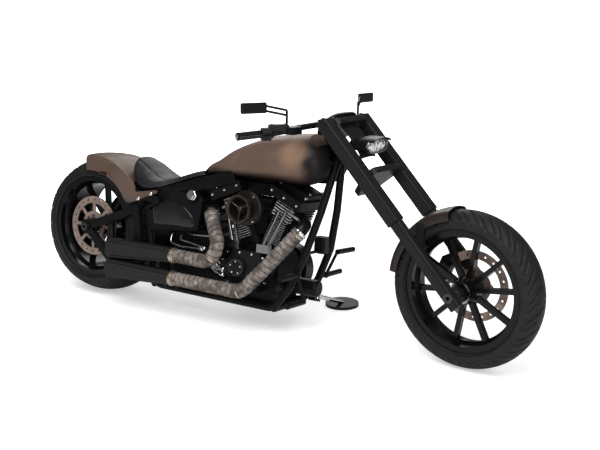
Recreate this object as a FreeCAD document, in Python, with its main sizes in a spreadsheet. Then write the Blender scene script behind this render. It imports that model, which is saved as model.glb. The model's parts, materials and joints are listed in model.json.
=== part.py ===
"""A long-fork chopper motorcycle, parked on its side stand.

The bike frame has +X forward, +Y to the rider's left and +Z up, with the line that both
tyres roll on as its X axis and the rear axle above X zero. Every piece is modelled upright
in that frame, then the whole leans over to the left. The fork is turned to the right. The
head frame has its Z axis up the steering axis and its X axis square to it, forward.
"""

import FreeCAD, Part
import Sketcher
import math
import os

from FreeCAD import Placement, Rotation, Vector

NAME = "Chopper"
doc = FreeCAD.newDocument(NAME)

# Sizes in millimetres. A name that ends in angle is in degrees, in count is a number of
# copies, and in share is a part of another size.
SIZES = {
    # Stance
    "wheel_base": 1923.5,
    "lean_angle": 7.0,
    "steer_angle": -8.0,
    "rake_angle": 44.0,
    "head_behind": 592.0,
    "head_height": 800.0,
    "seat_gap": 0.3,
    "running_gap": 6.0,
    "overrun": 30.0,
    # Both wheels
    "lip_radius": 245.0,
    "lip_thickness": 6.0,
    "tyre_seat_radius": 229.0,
    "well_radius": 216.0,
    "barrel_wall": 8.0,
    "well_slope": 20.0,
    "hub_radius": 56.0,
    "bore_radius": 13.0,
    "spoke_width": 20.0,
    "spoke_breadth": 26.0,
    "spoke_count": 10,
    "front_spoke_angle": -8.0,
    "rear_spoke_angle": 12.0,
    # Front wheel
    "front_radius": 320.0,
    "front_width": 138.0,
    "front_shoulder": 130.0,
    "front_drop": 35.0,
    "front_rim": 96.0,
    "front_hub": 124.0,
    # Rear wheel
    "rear_radius": 332.5,
    "rear_width": 262.0,
    "rear_shoulder": 250.0,
    "rear_drop": 42.0,
    "rear_rim": 226.0,
    "rear_hub": 214.0,
    "sidewall_bulge": 7.0,
    # Brake rotors and callipers
    "rotor_radius": 146.0,
    "rotor_band": 34.0,
    "rotor_thickness": 5.0,
    "rotor_hole": 5.0,
    "rotor_hole_count": 20,
    "carrier_radius": 72.0,
    "carrier_arm": 16.0,
    "carrier_arm_count": 8,
    "caliper_length": 105.0,
    "caliper_height": 52.0,
    "caliper_width": 44.0,
    "caliper_reach": 30.0,
    "caliper_corner": 12.0,
    "pad_gap": 1.5,
    "rear_caliper_angle": -14.0,
    "front_caliper_angle": 158.0,
    # Belt drive
    "pulley_radius": 140.0,
    "pulley_rim": 16.0,
    "belt_width": 24.0,
    "belt_thickness": 6.0,
    "belt_gap": 1.0,
    "sprocket_radius": 48.0,
    "sprocket_x": 640.0,
    "sprocket_z": 262.0,
    # Axles
    "axle_radius": 12.5,
    "axle_bore": 8.0,
    "nut_radius": 20.0,
    "nut_width": 14.0,
    "cap_width": 3.0,
    "collar_radius": 18.0,
    "hub_gap": 0.6,
    # Fork
    "leg_spacing": 268.0,
    "leg_ahead": 88.0,
    "leg_width": 60.0,
    "leg_depth": 58.0,
    "leg_corner": 8.0,
    "leg_top": 128.0,
    "leg_slope": 18.0,
    "leg_step": 395.0,
    "slider_width": 44.0,
    "slider_depth": 52.0,
    "slider_corner": 11.0,
    "slider_below": 48.0,
    "tree_thickness": 28.0,
    "lower_tree_drop": 182.0,
    "upper_tree_rise": 78.0,
    "tree_nose": 10.0,
    "dome_height": 18.0,
    "dome_rear": 44.0,
    "dome_front": 112.0,
    "dome_corner": 16.0,
    "bar_ahead": 22.0,
    "tree_waist": 44.0,
    "yoke_waist": 28.0,
    "stem_radius": 14.0,
    "neck_radius": 33.0,
    "neck_low": 140.0,
    "neck_high": 66.0,
    # Headlight
    "lamp_ahead": 148.5,
    "lamp_rise": 53.0,
    "lamp_width": 148.0,
    "lamp_height": 66.0,
    "lamp_depth": 116.0,
    "lens_depth": 12.0,
    "lamp_arm_radius": 9.0,
    # Handlebar
    "bar_radius": 12.7,
    "bar_bend": 70.0,
    "grip_radius": 17.0,
    "grip_length": 118.0,
    "riser_radius": 17.0,
    "riser_spread": 46.0,
    "bar_mid_behind": 90.5,
    "bar_mid_half": 100.0,
    "bar_mid_rise": 126.0,
    "perch_behind": 117.5,
    "perch_half": 255.0,
    "perch_rise": 117.0,
    "grip_behind": 159.5,
    "grip_half": 314.0,
    "grip_rise": 105.5,
    "bar_end_behind": 238.0,
    "bar_end_half": 422.0,
    "bar_end_rise": 94.0,
    "lever_radius": 6.0,
    "lever_ahead": 62.0,
    "reservoir_length": 62.0,
    "reservoir_width": 42.0,
    "reservoir_height": 30.0,
    "mirror_stem_rise": 69.0,
    "mirror_arm_behind": 46.0,
    "mirror_arm_out": 72.0,
    "mirror_arm_rise": 22.0,
    "right_mirror_angle": 24.0,
    "left_mirror_angle": 0.0,
    "mirror_length": 114.0,
    "mirror_height": 44.0,
    "mirror_thickness": 16.0,
    "mirror_arm_radius": 5.0,
    # Fenders
    "fender_wall": 4.0,
    "front_fender_radius": 333.0,
    "front_fender_width": 158.0,
    "front_fender_skirt": 284.0,
    "front_fender_start_angle": 101.0,
    "front_fender_sweep_angle": 72.0,
    "rear_fender_radius": 360.0,
    "rear_fender_width": 286.0,
    "rear_fender_skirt": 276.0,
    "rear_fender_start_angle": 96.0,
    "rear_fender_sweep_angle": 52.0,
    "fender_corner": 26.0,
    "fender_crown": 8.0,
    # Frame tubes
    "rail_radius": 17.0,
    "spine_radius": 21.0,
    "tube_bend": 60.0,
    "rail_half": 118.0,
    "rail_z": 111.0,
    "downtube_top_behind": 26.0,
    "downtube_top_half": 18.0,
    "downtube_top_drop": 20.0,
    "downtube_neck_behind": 62.0,
    "downtube_neck_half": 69.0,
    "downtube_neck_drop": 247.0,
    "downtube_mid_x": 1228.0,
    "downtube_mid_z": 371.0,
    "downtube_mid_half": 107.0,
    "downtube_low_x": 1170.0,
    "downtube_low_z": 222.0,
    "rail_front_x": 1092.0,
    "rail_rear_x": 410.0,
    "post_mid_x": 378.0,
    "post_mid_z": 320.0,
    "post_top_x": 352.0,
    "post_top_z": 470.0,
    "top_rail_mid_x": 545.0,
    "top_rail_mid_z": 570.0,
    "top_rail_mid_half": 104.0,
    "spine_end_x": 655.0,
    "spine_end_z": 640.0,
    "spine_mid_x": 800.0,
    "spine_mid_z": 705.0,
    "spine_front_behind": 141.5,
    "spine_front_drop": 50.0,
    # Swingarm
    "arm_gap": 8.0,
    "arm_thickness": 24.0,
    "arm_depth": 38.0,
    "axle_plate_radius": 36.0,
    "arm_top_x": 316.0,
    "arm_top_z": 458.0,
    "elbow_x": 340.0,
    "elbow_z": 292.0,
    "knee_x": 165.0,
    "knee_z": 192.0,
    "pivot_x": 452.0,
    "pivot_z": 262.0,
    "pivot_radius": 22.0,
    # Seat and tank
    "seat_back_x": 200.0,
    "seat_nose_x": 634.0,
    "seat_base_z": 540.0,
    "seat_rise": 160.0,
    "seat_half": 140.0,
    "seat_power": 2.6,
    "seat_clearance": 12.0,
    "tank_tail_x": 600.0,
    "tank_front_x": 1306.0,
    "tank_base_z": 645.0,
    "tank_rise": 232.0,
    "tank_half": 168.0,
    "tank_power": 2.3,
    "tunnel_half": 74.0,
    "tunnel_gap": 6.0,
    # Engine
    "crank_x": 956.0,
    "crank_z": 235.0,
    "crank_radius": 138.0,
    "case_half": 96.0,
    "bank_angle": 23.5,
    "deck_height": 172.0,
    "barrel_radius": 58.0,
    "barrel_length": 120.0,
    "fin_width": 158.0,
    "fin_length": 136.0,
    "fin_corner": 34.0,
    "fin_thickness": 4.0,
    "fin_pitch": 10.5,
    "barrel_fin_count": 11,
    "head_length": 80.0,
    "head_width": 166.0,
    "head_depth": 162.0,
    "head_fin_thickness": 6.0,
    "head_fin_pitch": 13.0,
    "head_fin_count": 6,
    "rocker_length": 174.0,
    "rocker_width": 136.0,
    "rocker_base_width": 186.0,
    "rocker_base_height": 44.0,
    "rocker_height": 74.0,
    "rocker_corner": 22.0,
    "cam_half_length": 132.0,
    "cam_height": 176.0,
    "cam_behind": 8.0,
    "cam_rise": 27.0,
    "cam_depth": 52.0,
    "points_radius": 36.0,
    "points_depth": 16.0,
    "points_behind": 46.0,
    "points_rise": 35.0,
    "pushrod_radius": 9.0,
    "pushrod_rise": 302.0,
    "pushrod_half": 132.0,
    "pushrod_low_ahead": 64.0,
    "pushrod_low_gap": 24.0,
    "pushrod_high_ahead": 122.0,
    "pushrod_high_gap": 36.0,
    "lifter_width": 58.0,
    "lifter_height": 36.0,
    "lifter_depth": 30.0,
    "cleaner_ahead": 0.0,
    "cleaner_rise": 304.0,
    "cleaner_radius": 78.0,
    "bell_radius": 60.0,
    "bell_depth": 40.0,
    "bell_core": 20.0,
    "cleaner_inner": 150.0,
    "cleaner_middle": 180.0,
    "cleaner_outer": 238.0,
    "cleaner_ring": 12.0,
    "cleaner_pipe": 32.0,
    "intake_radius": 24.0,
    "intake_half": 30.0,
    "intake_lift": 22.0,
    "primary_depth": 66.0,
    "primary_front_radius": 118.0,
    "primary_rear_radius": 112.0,
    "clutch_x": 668.0,
    "clutch_z": 272.0,
    "gearbox_rear_x": 486.0,
    "gearbox_front_x": 806.0,
    "gearbox_low_z": 170.0,
    "gearbox_high_z": 396.0,
    "gearbox_half": 94.0,
    "gearbox_corner": 34.0,
    # Oil tank
    "oil_rear_x": 470.0,
    "oil_front_x": 676.0,
    "oil_low_z": 402.0,
    "oil_high_z": 545.0,
    "oil_half": 94.0,
    "cover_half": 150.0,
    "cover_rear_x": 384.0,
    "cover_front_x": 700.0,
    "cover_thickness": 10.0,
    "boss_radius": 18.0,
    "oil_cap_radius": 19.0,
    "oil_cap_height": 16.0,
    "oil_line_radius": 5.0,
    "oil_line_count": 3,
    "oil_line_pitch": 15.0,
    "oil_line_half": 70.0,
    "oil_line_lift": 23.0,
    "oil_line_drop": 32.0,
    "oil_line_lead": 78.0,
    # Exhaust
    "pipe_radius": 28.0,
    "pipe_bend": 85.0,
    "pipe_lead": 14.0,
    "front_knee_ahead": 276.0,
    "front_knee_half": 130.0,
    "front_knee_rise": 256.0,
    "front_shin_ahead": 119.0,
    "front_shin_half": 207.0,
    "front_shin_rise": 46.0,
    "front_ankle_ahead": 24.0,
    "rear_hip_behind": 214.0,
    "rear_hip_half": 142.0,
    "rear_hip_rise": 262.0,
    "rear_knee_behind": 112.0,
    "rear_knee_rise": 128.0,
    "rear_ankle_behind": 152.0,
    "exhaust_half": 212.0,
    "port_reach": 88.0,
    "port_half": 56.0,
    "port_radius": 22.0,
    "upper_pipe_z": 283.0,
    "lower_pipe_z": 178.0,
    "muffler_front_x": 590.0,
    "muffler_rear_x": 214.0,
    "muffler_front_height": 62.0,
    "muffler_front_width": 62.0,
    "muffler_rear_height": 88.0,
    "muffler_rear_width": 78.0,
    "upper_muffler_z": 267.0,
    "lower_muffler_z": 170.0,
    "hanger_radius": 8.0,
    "muffler_corner": 14.0,
    "muffler_wall": 4.0,
    "muffler_mouth": 70.0,
    # Foot controls
    "peg_radius": 12.0,
    "peg_x": 1222.0,
    "peg_z": 284.0,
    "peg_inner_half": 150.0,
    "peg_outer_half": 282.0,
    "control_plate": 12.0,
    "pedal_x": 1262.0,
    "pedal_z": 176.0,
    "pedal_radius": 7.0,
    "left_peg_x": 1190.0,
    "left_peg_z": 240.0,
    "shifter_arm_x": 1240.0,
    "shifter_x": 1250.0,
    "shifter_z": 352.0,
    # Small assemblies
    "coil_length": 54.0,
    "coil_width": 52.0,
    "coil_height": 72.0,
    "coil_z": 396.0,
    "filter_radius": 38.0,
    "filter_front_x": 1246.0,
    "filter_z": 205.0,
    "led_radius": 7.0,
    "led_length": 42.0,
    "led_x": 62.0,
    "led_z": 603.0,
    # Side stand
    "stand_x": 1146.0,
    "stand_half": 160.0,
    "stand_z": 132.0,
    "foot_x": 1146.0,
    "foot_half": 405.0,
    "foot_radius": 80.0,
    "foot_thickness": 14.0,
    "stand_leg_radius": 10.0,
    "stand_pin_radius": 9.0,
    "stand_eye_radius": 20.0,
    "stand_eye_height": 24.0,
    "stand_cheek": 10.0,
    "stand_yoke": 24.0,
    "stand_fold_angle": 62.0,
    "stand_tilt_angle": 4.0,
    # Brackets
    "strut_angle": 47.0,
    "strut_radius": 292.0,
    "strut_depth": 36.0,
    "strut_thickness": 7.0,
    "stay_height": 236.0,
    "stay_angle": 126.0,
    "stay_depth": 34.0,
}

sheet = doc.addObject("Spreadsheet::Sheet", "Sizes")
for row, (alias, value) in enumerate(SIZES.items(), start=1):
    sheet.set("A%d" % row, alias)
    sheet.set("B%d" % row, repr(value))
    sheet.setAlias("B%d" % row, alias)
doc.recompute()


def text_of(value):
    """The expression of a size, or the figures of a plain number."""
    return getattr(value, "text", None) or repr(float(value))


class Size(float):
    """A number that keeps the sheet expression that it comes from."""

    def __new__(cls, value, text):
        made = float.__new__(cls, value)
        made.text = text
        return made

    def __add__(self, other):
        return Size(float(self) + float(other), "(%s + %s)" % (self.text, text_of(other)))

    def __radd__(self, other):
        return Size(float(other) + float(self), "(%s + %s)" % (text_of(other), self.text))

    def __sub__(self, other):
        return Size(float(self) - float(other), "(%s - %s)" % (self.text, text_of(other)))

    def __rsub__(self, other):
        return Size(float(other) - float(self), "(%s - %s)" % (text_of(other), self.text))

    def __mul__(self, other):
        return Size(float(self) * float(other), "(%s * %s)" % (self.text, text_of(other)))

    def __rmul__(self, other):
        return Size(float(other) * float(self), "(%s * %s)" % (text_of(other), self.text))

    def __truediv__(self, other):
        return Size(float(self) / float(other), "(%s / %s)" % (self.text, text_of(other)))

    def __neg__(self):
        return 0 - self


class Sheet:
    """Reads each alias of the sheet as a Size."""

    def __getattr__(self, alias):
        return Size(getattr(sheet, alias), "Sizes." + alias)


size = Sheet()
ORIGIN = Vector(0, 0, 0)
X, Y, Z = Vector(1, 0, 0), Vector(0, 1, 0), Vector(0, 0, 1)
FULL_TURN = 360.0
QUARTER_TURN = 90.0
HALF = 0.5
BEND_SHARE = 0.45
TUBE_ERROR_SHARE = 0.01
SIDES = (-1, 1)


def spot(x, y, z):
    """A point from three sizes."""
    return Vector(float(x), float(y), float(z))


def turn(axis, angle):
    """A placement that only turns."""
    return Placement(ORIGIN, Rotation(axis, float(angle)))


def crown(width, drop):
    """The radius of an arc from its whole width and its rise."""
    return (width * width / 4 + drop * drop) / (drop * 2)


# Places of the moving groups
rear_crown = crown(size.rear_shoulder, size.rear_drop)
front_crown = crown(size.front_shoulder, size.front_drop)
LEAN = turn(X, -size.lean_angle)
cos_lean = math.cos(math.radians(size.lean_angle))
rear_z = size.rear_radius - rear_crown + rear_crown / cos_lean
head = spot(size.wheel_base - size.head_behind, 0, size.head_height)
head_axis = Rotation(Y, -size.rake_angle).multVec(Z)
STEER = Placement(ORIGIN, Rotation(head_axis, float(size.steer_angle)), head)


def front_axle_height():
    """The height that sets the turned front tyre on the floor with the rear one."""
    swing = LEAN.Rotation.multiply(STEER.Rotation)
    axle = swing.multVec(Y)
    reach = front_crown + (size.front_radius - front_crown) * math.sqrt(1 - axle.z ** 2)
    arm = spot(size.head_behind, 0, 0) - spot(0, 0, size.head_height)
    return (reach - LEAN.multVec(head).z - swing.multVec(arm).z) / swing.multVec(Z).z


front_z = front_axle_height()
HEAD = Placement(head, Rotation(Y, -float(size.rake_angle)))
rear_axle = spot(0, 0, rear_z)
front_axle = spot(size.wheel_base, 0, front_z)
axle_in_head = HEAD.inverse().multVec(front_axle)

GROUPS = {
    "frame": LEAN,
    "rear_wheel": LEAN.multiply(Placement(rear_axle, Rotation())),
    "fork": LEAN.multiply(STEER),
    "head": LEAN.multiply(STEER).multiply(HEAD),
    "front_wheel": LEAN.multiply(STEER).multiply(Placement(front_axle, Rotation())),
}
pieces = []


def keep(piece, label, group, local=Placement()):
    """Names a finished piece and puts it in its place on the motorcycle."""
    piece.Label = label
    piece.Placement = GROUPS[group].multiply(local)
    pieces.append(piece)
    return piece


def behind_head(behind, half, rise):
    """A point of the frame or of the unturned fork, set out from the middle of the neck."""
    return spot(head.x - behind, half, head.z + rise)


def solid(shape, label, group, local=Placement()):
    """A piece whose shape is worked out from the sheet's sizes in code."""
    piece = doc.addObject("Part::Feature", label)
    piece.Shape = shape
    return keep(piece, label, group, local)


def bind(thing, path, value):
    """Ties a property to the sheet, or sets it where the value is a plain number."""
    if hasattr(value, "text"):
        thing.setExpression(path, value.text)
    else:
        setattr(thing, path, value)


def new_body(label):
    """An empty body."""
    return doc.addObject("PartDesign::Body", label + "_body")


def datum(body, role):
    """One of the body's own origin planes or axes."""
    return next(item for item in body.Origin.OriginFeatures if item.Role == role)


def new_sketch(body, role, offset=0):
    """A sketch on one of the body's origin planes, moved along its normal."""
    sketch = body.newObject("Sketcher::SketchObject", "sketch")
    sketch.AttachmentSupport = [(datum(body, role), "")]
    sketch.MapMode = "FlatFace"
    sketch.AttachmentOffset = Placement(spot(0, 0, offset), Rotation())
    if hasattr(offset, "text"):
        sketch.setExpression("AttachmentOffset.Base.z", offset.text)
    return sketch


def fix(sketch, kind, edge, end, value):
    """Fixes one coordinate of a point of the sketch."""
    row = sketch.addConstraint(Sketcher.Constraint(kind, -1, 1, edge, end, float(value)))
    if hasattr(value, "text"):
        sketch.setExpression("Constraints[%d]" % row, value.text)


def arc_between(first, last, rise):
    """The arc between two points that rises to the left of the way, always anticlockwise."""
    way = last - first
    left = Vector(-way.y, way.x, 0).normalize()
    middle = (first + last) * HALF + left * float(rise)
    return Part.Arc(last, middle, first) if rise > 0 else Part.Arc(first, middle, last)


def draw(sketch, points):
    """Closes a loop of points (across, up) or (across, up, rise of the side ending there)."""
    sides = []
    for index, point in enumerate(points):
        before = points[index - 1]
        first, last = spot(before[0], before[1], 0), spot(point[0], point[1], 0)
        if len(point) == 2:
            sides.append((sketch.addGeometry(Part.LineSegment(first, last)), 1, 2))
            continue
        rise = point[2]
        edge = sketch.addGeometry(arc_between(first, last, rise))
        sides.append((edge, 2, 1) if rise > 0 else (edge, 1, 2))
        across, up = point[0] - before[0], point[1] - before[1]
        height = rise if rise > 0 else -rise
        radius = ((across * across + up * up) / 4 + height * height) / (height * 2)
        row = sketch.addConstraint(Sketcher.Constraint("Radius", edge, float(radius)))
        if hasattr(radius, "text"):
            sketch.setExpression("Constraints[%d]" % row, radius.text)
    for index, (edge, start, end) in enumerate(sides):
        last_edge, _, last_end = sides[index - 1]
        sketch.addConstraint(Sketcher.Constraint("Coincident", last_edge, last_end, edge, start))
        fix(sketch, "DistanceX", edge, end, points[index][0])
        fix(sketch, "DistanceY", edge, end, points[index][1])


def draw_circle(sketch, across, up, radius):
    """Adds a circle."""
    edge = sketch.addGeometry(Part.Circle(spot(across, up, 0), Z, float(radius)))
    fix(sketch, "DistanceX", edge, 3, across)
    fix(sketch, "DistanceY", edge, 3, up)
    row = sketch.addConstraint(Sketcher.Constraint("Radius", edge, float(radius)))
    if hasattr(radius, "text"):
        sketch.setExpression("Constraints[%d]" % row, radius.text)


def rounded(across, up, wide, high, corner):
    """The points of a rectangle with round corners, about its middle."""
    half_w, half_h = wide / 2, high / 2
    rise = -(corner * (1 - math.sqrt(HALF)))
    return [
        (across - half_w + corner, up - half_h, -rise),
        (across + half_w - corner, up - half_h),
        (across + half_w, up - half_h + corner, -rise),
        (across + half_w, up + half_h - corner),
        (across + half_w - corner, up + half_h, -rise),
        (across - half_w + corner, up + half_h),
        (across - half_w, up + half_h - corner, -rise),
        (across - half_w, up - half_h + corner),
    ]


def revolve(body, points, angle=None):
    """Turns an outline of (radius, width) points about the body's Y axis."""
    sketch = new_sketch(body, "XY_Plane")
    draw(sketch, points)
    feature = body.newObject("PartDesign::Revolution", "turned")
    feature.Profile = sketch
    feature.ReferenceAxis = (sketch, ["V_Axis"])
    bind(feature, "Angle", FULL_TURN if angle is None else angle)
    body.Tip = feature
    return feature


def pad(body, role, loops, length, offset=0, middle=False):
    """Pads loops of points, and circles given as (across, up, radius) in one tuple."""
    sketch = new_sketch(body, role, offset)
    for loop in loops:
        if isinstance(loop, tuple):
            draw_circle(sketch, *loop)
        else:
            draw(sketch, loop)
    feature = body.newObject("PartDesign::Pad", "pad")
    feature.Profile = sketch
    bind(feature, "Length", length)
    if middle:
        feature.SideType = "Symmetric"
    body.Tip = feature
    return feature


def pocket(body, role, loops, length, offset=0, middle=True):
    """Cuts loops out of the body, to both sides of the sketch by default."""
    sketch = new_sketch(body, role, offset)
    for loop in loops:
        if isinstance(loop, tuple):
            draw_circle(sketch, *loop)
        else:
            draw(sketch, loop)
    feature = body.newObject("PartDesign::Pocket", "pocket")
    feature.Profile = sketch
    bind(feature, "Length", length)
    if middle:
        feature.SideType = "Symmetric"
    body.Tip = feature
    return feature


def repeat(body, feature, role, count):
    """Copies a feature evenly all the way round one of the body's axes."""
    pattern = body.newObject("PartDesign::PolarPattern", "round")
    pattern.Originals = [feature]
    pattern.Axis = (datum(body, role), [""])
    pattern.Angle = FULL_TURN
    bind(pattern, "Occurrences", count)
    body.Tip = pattern
    return pattern


def path_wire(points, bend):
    """Straight runs through points, joined by tangent arcs."""
    edges, start = [], points[0]
    for before, corner, after in zip(points, points[1:], points[2:]):
        into, out = (corner - before), (after - corner)
        limit = BEND_SHARE * min(into.Length, out.Length)
        into.normalize()
        out.normalize()
        half_turn = into.getAngle(out) * HALF
        reach = min(float(bend) * math.tan(half_turn), limit)
        radius = reach / math.tan(half_turn)
        first, last = corner - into * reach, corner + out * reach
        inward = (out - into).normalize()
        middle = corner + inward * (radius / math.cos(half_turn) - radius)
        edges.append(Part.LineSegment(start, first).toShape())
        edges.append(Part.Arc(first, middle, last).toShape())
        start = last
    edges.append(Part.LineSegment(start, points[-1]).toShape())
    return Part.Wire(edges)


def tube(points, radius, bend):
    """A round bar along a path, checked against its section times its length."""
    wire = path_wire(points, bend)
    way = points[1] - points[0]
    profile = Part.Wire(Part.makeCircle(float(radius), points[0], way))
    made = wire.makePipeShell([profile], True, False)
    wanted = math.pi * radius ** 2 * wire.Length
    if abs(made.Volume - wanted) > wanted * TUBE_ERROR_SHARE:
        raise ValueError("tube volume %.0f, wanted %.0f" % (made.Volume, wanted))
    return made


def bar(first, last, radius):
    """A straight round bar."""
    way = last - first
    return Part.makeCylinder(float(radius), way.Length, first, way)


def block(low, high):
    """A box between two corners."""
    reach = high - low
    return Part.makeBox(reach.x, reach.y, reach.z, low)


def upright(piece, group="frame"):
    """A copy of a finished piece's shape in its group's own frame, before it leans."""
    doc.recompute()
    shape = piece.Shape.copy()
    shape.Placement = GROUPS[group].inverse().multiply(shape.Placement)
    return shape


def join(shapes):
    """Several shapes made one, without seams."""
    return shapes[0].multiFuse(shapes[1:]).removeSplitter()


def section(middle, across, up, half_width, high, low, power):
    """A closed smooth section, fuller than an ellipse where the power is over two."""
    points = []
    for step in range(SECTION_STEPS):
        angle = 2 * math.pi * step / SECTION_STEPS
        cosine, sine = math.cos(angle), math.sin(angle)
        side = math.copysign(abs(cosine) ** (2 / power), cosine) * half_width
        rise = math.copysign(abs(sine) ** (2 / power), sine) * (high if sine > 0 else low)
        points.append(middle + across * side + up * rise)
    curve = Part.BSplineCurve()
    curve.interpolate(Points=points, PeriodicFlag=True)
    return Part.Wire(curve.toShape())


SECTION_STEPS = 20


# Wheels
def tyre(label, group, radius, width, shoulder, drop, rim):
    """A tyre with a round crown, seated between the rim's flanges."""
    body = new_body(label)
    inner = rim / 2 - size.seat_gap
    edge = size.lip_radius + size.seat_gap
    flange = inner + size.lip_thickness
    shoulder_radius = radius - drop
    waist = (edge + shoulder_radius) / 2
    revolve(body, [
        (size.tyre_seat_radius + size.seat_gap, -inner),
        (size.tyre_seat_radius + size.seat_gap, inner),
        (edge, inner),
        (edge, flange),
        (waist, width / 2, size.sidewall_bulge),
        (shoulder_radius, shoulder / 2, size.seat_gap),
        (shoulder_radius, -(shoulder / 2), drop),
        (waist, -(width / 2), size.seat_gap),
        (edge, -flange, size.sidewall_bulge),
        (edge, -inner),
    ])
    return keep(body, label, group)


def rim(label, group, width, hub_width, spoke_angle):
    """A one-piece wheel: hub, straight spokes and a barrel with two lips."""
    body = new_body(label)
    half, hub = width / 2, hub_width / 2
    revolve(body, [
        (size.bore_radius, -hub),
        (size.hub_radius - size.bore_radius, -hub),
        (size.hub_radius, -size.spoke_breadth),
        (size.hub_radius, size.spoke_breadth),
        (size.hub_radius - size.bore_radius, hub),
        (size.bore_radius, hub),
    ])
    low, high = size.hub_radius - size.bore_radius / 2, size.well_radius - size.barrel_wall / 2
    wide = size.spoke_width / 2
    spoke = pad(body, "XZ_Plane", [[(low, -wide), (high, -wide), (high, wide), (low, wide)]],
                size.spoke_breadth, middle=True)
    repeat(body, spoke, "Y_Axis", size.spoke_count)
    lip = half + size.lip_thickness
    slope = half - size.well_slope
    deep = half - size.well_slope * 2
    seat = size.tyre_seat_radius - size.barrel_wall
    revolve(body, [
        (size.well_radius - size.barrel_wall, -deep),
        (seat, -slope),
        (seat, -lip),
        (size.lip_radius, -lip),
        (size.lip_radius, -half),
        (size.tyre_seat_radius, -half),
        (size.tyre_seat_radius, -slope),
        (size.well_radius, -deep),
        (size.well_radius, deep),
        (size.tyre_seat_radius, slope),
        (size.tyre_seat_radius, half),
        (size.lip_radius, half),
        (size.lip_radius, lip),
        (seat, lip),
        (seat, slope),
        (size.well_radius - size.barrel_wall, deep),
    ])
    return keep(body, label, group, turn(Y, spoke_angle))


def rotor(label, group, offset):
    """A drilled brake rotor on a spider that is bolted to the hub's face."""
    body = new_body(label)
    inner = size.rotor_radius - size.rotor_band
    bore = size.hub_radius - size.bore_radius
    ring = [(0, 0, size.carrier_radius), (0, 0, bore)]
    pad(body, "XZ_Plane", ring, size.rotor_thickness, offset, middle=True)
    low, high = size.carrier_radius - size.carrier_arm / 2, inner + size.rotor_hole
    wide = size.carrier_arm / 2
    arm = pad(body, "XZ_Plane", [[(low, -wide), (high, -wide), (high, wide), (low, wide)]],
              size.rotor_thickness, offset, middle=True)
    repeat(body, arm, "Y_Axis", size.carrier_arm_count)
    band = [(0, 0, size.rotor_radius), (0, 0, inner)]
    pad(body, "XZ_Plane", band, size.rotor_thickness, offset, middle=True)
    middle = size.rotor_radius - size.rotor_band / 2
    hole = pocket(body, "XZ_Plane", [(middle, 0, size.rotor_hole)], size.overrun, offset)
    repeat(body, hole, "Y_Axis", size.rotor_hole_count)
    return keep(body, label, group)


tyre("front_tyre", "front_wheel", size.front_radius, size.front_width, size.front_shoulder,
     size.front_drop, size.front_rim)
tyre("rear_tyre", "rear_wheel", size.rear_radius, size.rear_width, size.rear_shoulder,
     size.rear_drop, size.rear_rim)
rim("front_rim", "front_wheel", size.front_rim, size.front_hub, size.front_spoke_angle)
rim("rear_rim", "rear_wheel", size.rear_rim, size.rear_hub, size.rear_spoke_angle)
front_rotor_y = size.front_hub / 2 + size.rotor_thickness / 2
rear_rotor_y = size.rear_hub / 2 + size.rotor_thickness / 2
rotor("front_rotor", "front_wheel", -front_rotor_y)
rotor("rear_rotor", "rear_wheel", rear_rotor_y)

belt_inner = size.rear_width / 2 + size.arm_gap
belt_outer = belt_inner + size.belt_width


def pulley():
    """The rear belt pulley, with a dished web back to the hub's left face."""
    body = new_body("rear_pulley")
    bore = size.hub_radius - size.bore_radius
    face = size.rear_hub / 2
    rim_low = size.pulley_radius - size.pulley_rim
    web = size.pulley_rim / 2
    revolve(body, [
        (bore, face),
        (size.carrier_radius, face),
        (rim_low, belt_inner),
        (size.pulley_radius, belt_inner),
        (size.pulley_radius, belt_outer),
        (rim_low, belt_outer),
        (rim_low, belt_inner + web),
        (size.carrier_radius, face + web),
        (bore, face + web),
    ])
    return keep(body, "rear_pulley", "rear_wheel")


pulley()


def axle(label, group, hub_width, inner, outer, nut):
    """A hollow axle with a collar from the hub to each arm, and a nut outside each arm."""
    body = new_body(label)
    hub = hub_width / 2 + size.hub_gap
    outline = [(size.axle_bore, outer[1] + nut),
               (size.axle_bore, -outer[0] - nut),
               (size.nut_radius, -outer[0] - nut),
               (size.nut_radius, -outer[0]),
               (size.axle_radius, -outer[0]),
               (size.axle_radius, -inner[0]),
               (size.collar_radius, -inner[0]),
               (size.collar_radius, -hub),
               (size.axle_radius, -hub),
               (size.axle_radius, hub),
               (size.collar_radius, hub),
               (size.collar_radius, inner[1] + 0),
               (size.axle_radius, inner[1] + 0),
               (size.axle_radius, outer[1] + 0),
               (size.nut_radius, outer[1] + 0),
               (size.nut_radius, outer[1] + nut)]
    revolve(body, outline)
    return keep(body, label, group)


right_arm_inner = size.rear_width / 2 + size.arm_gap
left_arm_inner = belt_outer + size.arm_gap
right_arm_outer = right_arm_inner + size.arm_thickness
left_arm_outer = left_arm_inner + size.arm_thickness
leg_inner = size.leg_spacing / 2 - size.leg_width / 2
slider_inner = size.leg_spacing / 2 - size.slider_width / 2
slider_outer = size.leg_spacing / 2 + size.slider_width / 2
axle("rear_axle", "rear_wheel", size.rear_hub, (right_arm_inner, left_arm_inner),
     (right_arm_outer, left_arm_outer), size.nut_width)
axle("front_axle", "front_wheel", size.front_hub, (slider_inner, slider_inner),
     (slider_outer, slider_outer), size.cap_width)


def strap(first, last, depth, inner, outer):
    """A flat bar with round ends in an upright plane, between two widths."""
    way = last - first
    low = spot(first.x, inner, first.z)
    across = Y * float(outer - inner)
    half = float(depth) * HALF
    square = Vector(-way.z, 0, way.x).normalize() * half
    corners = [low + square, low + way + square, low + way - square, low - square]
    plate = Part.Face(Part.makePolygon(corners + corners[:1])).extrude(across)
    ends = [Part.makeCylinder(half, across.Length, low + shift, across) for shift in (ORIGIN, way)]
    return plate.multiFuse(ends)


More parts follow.
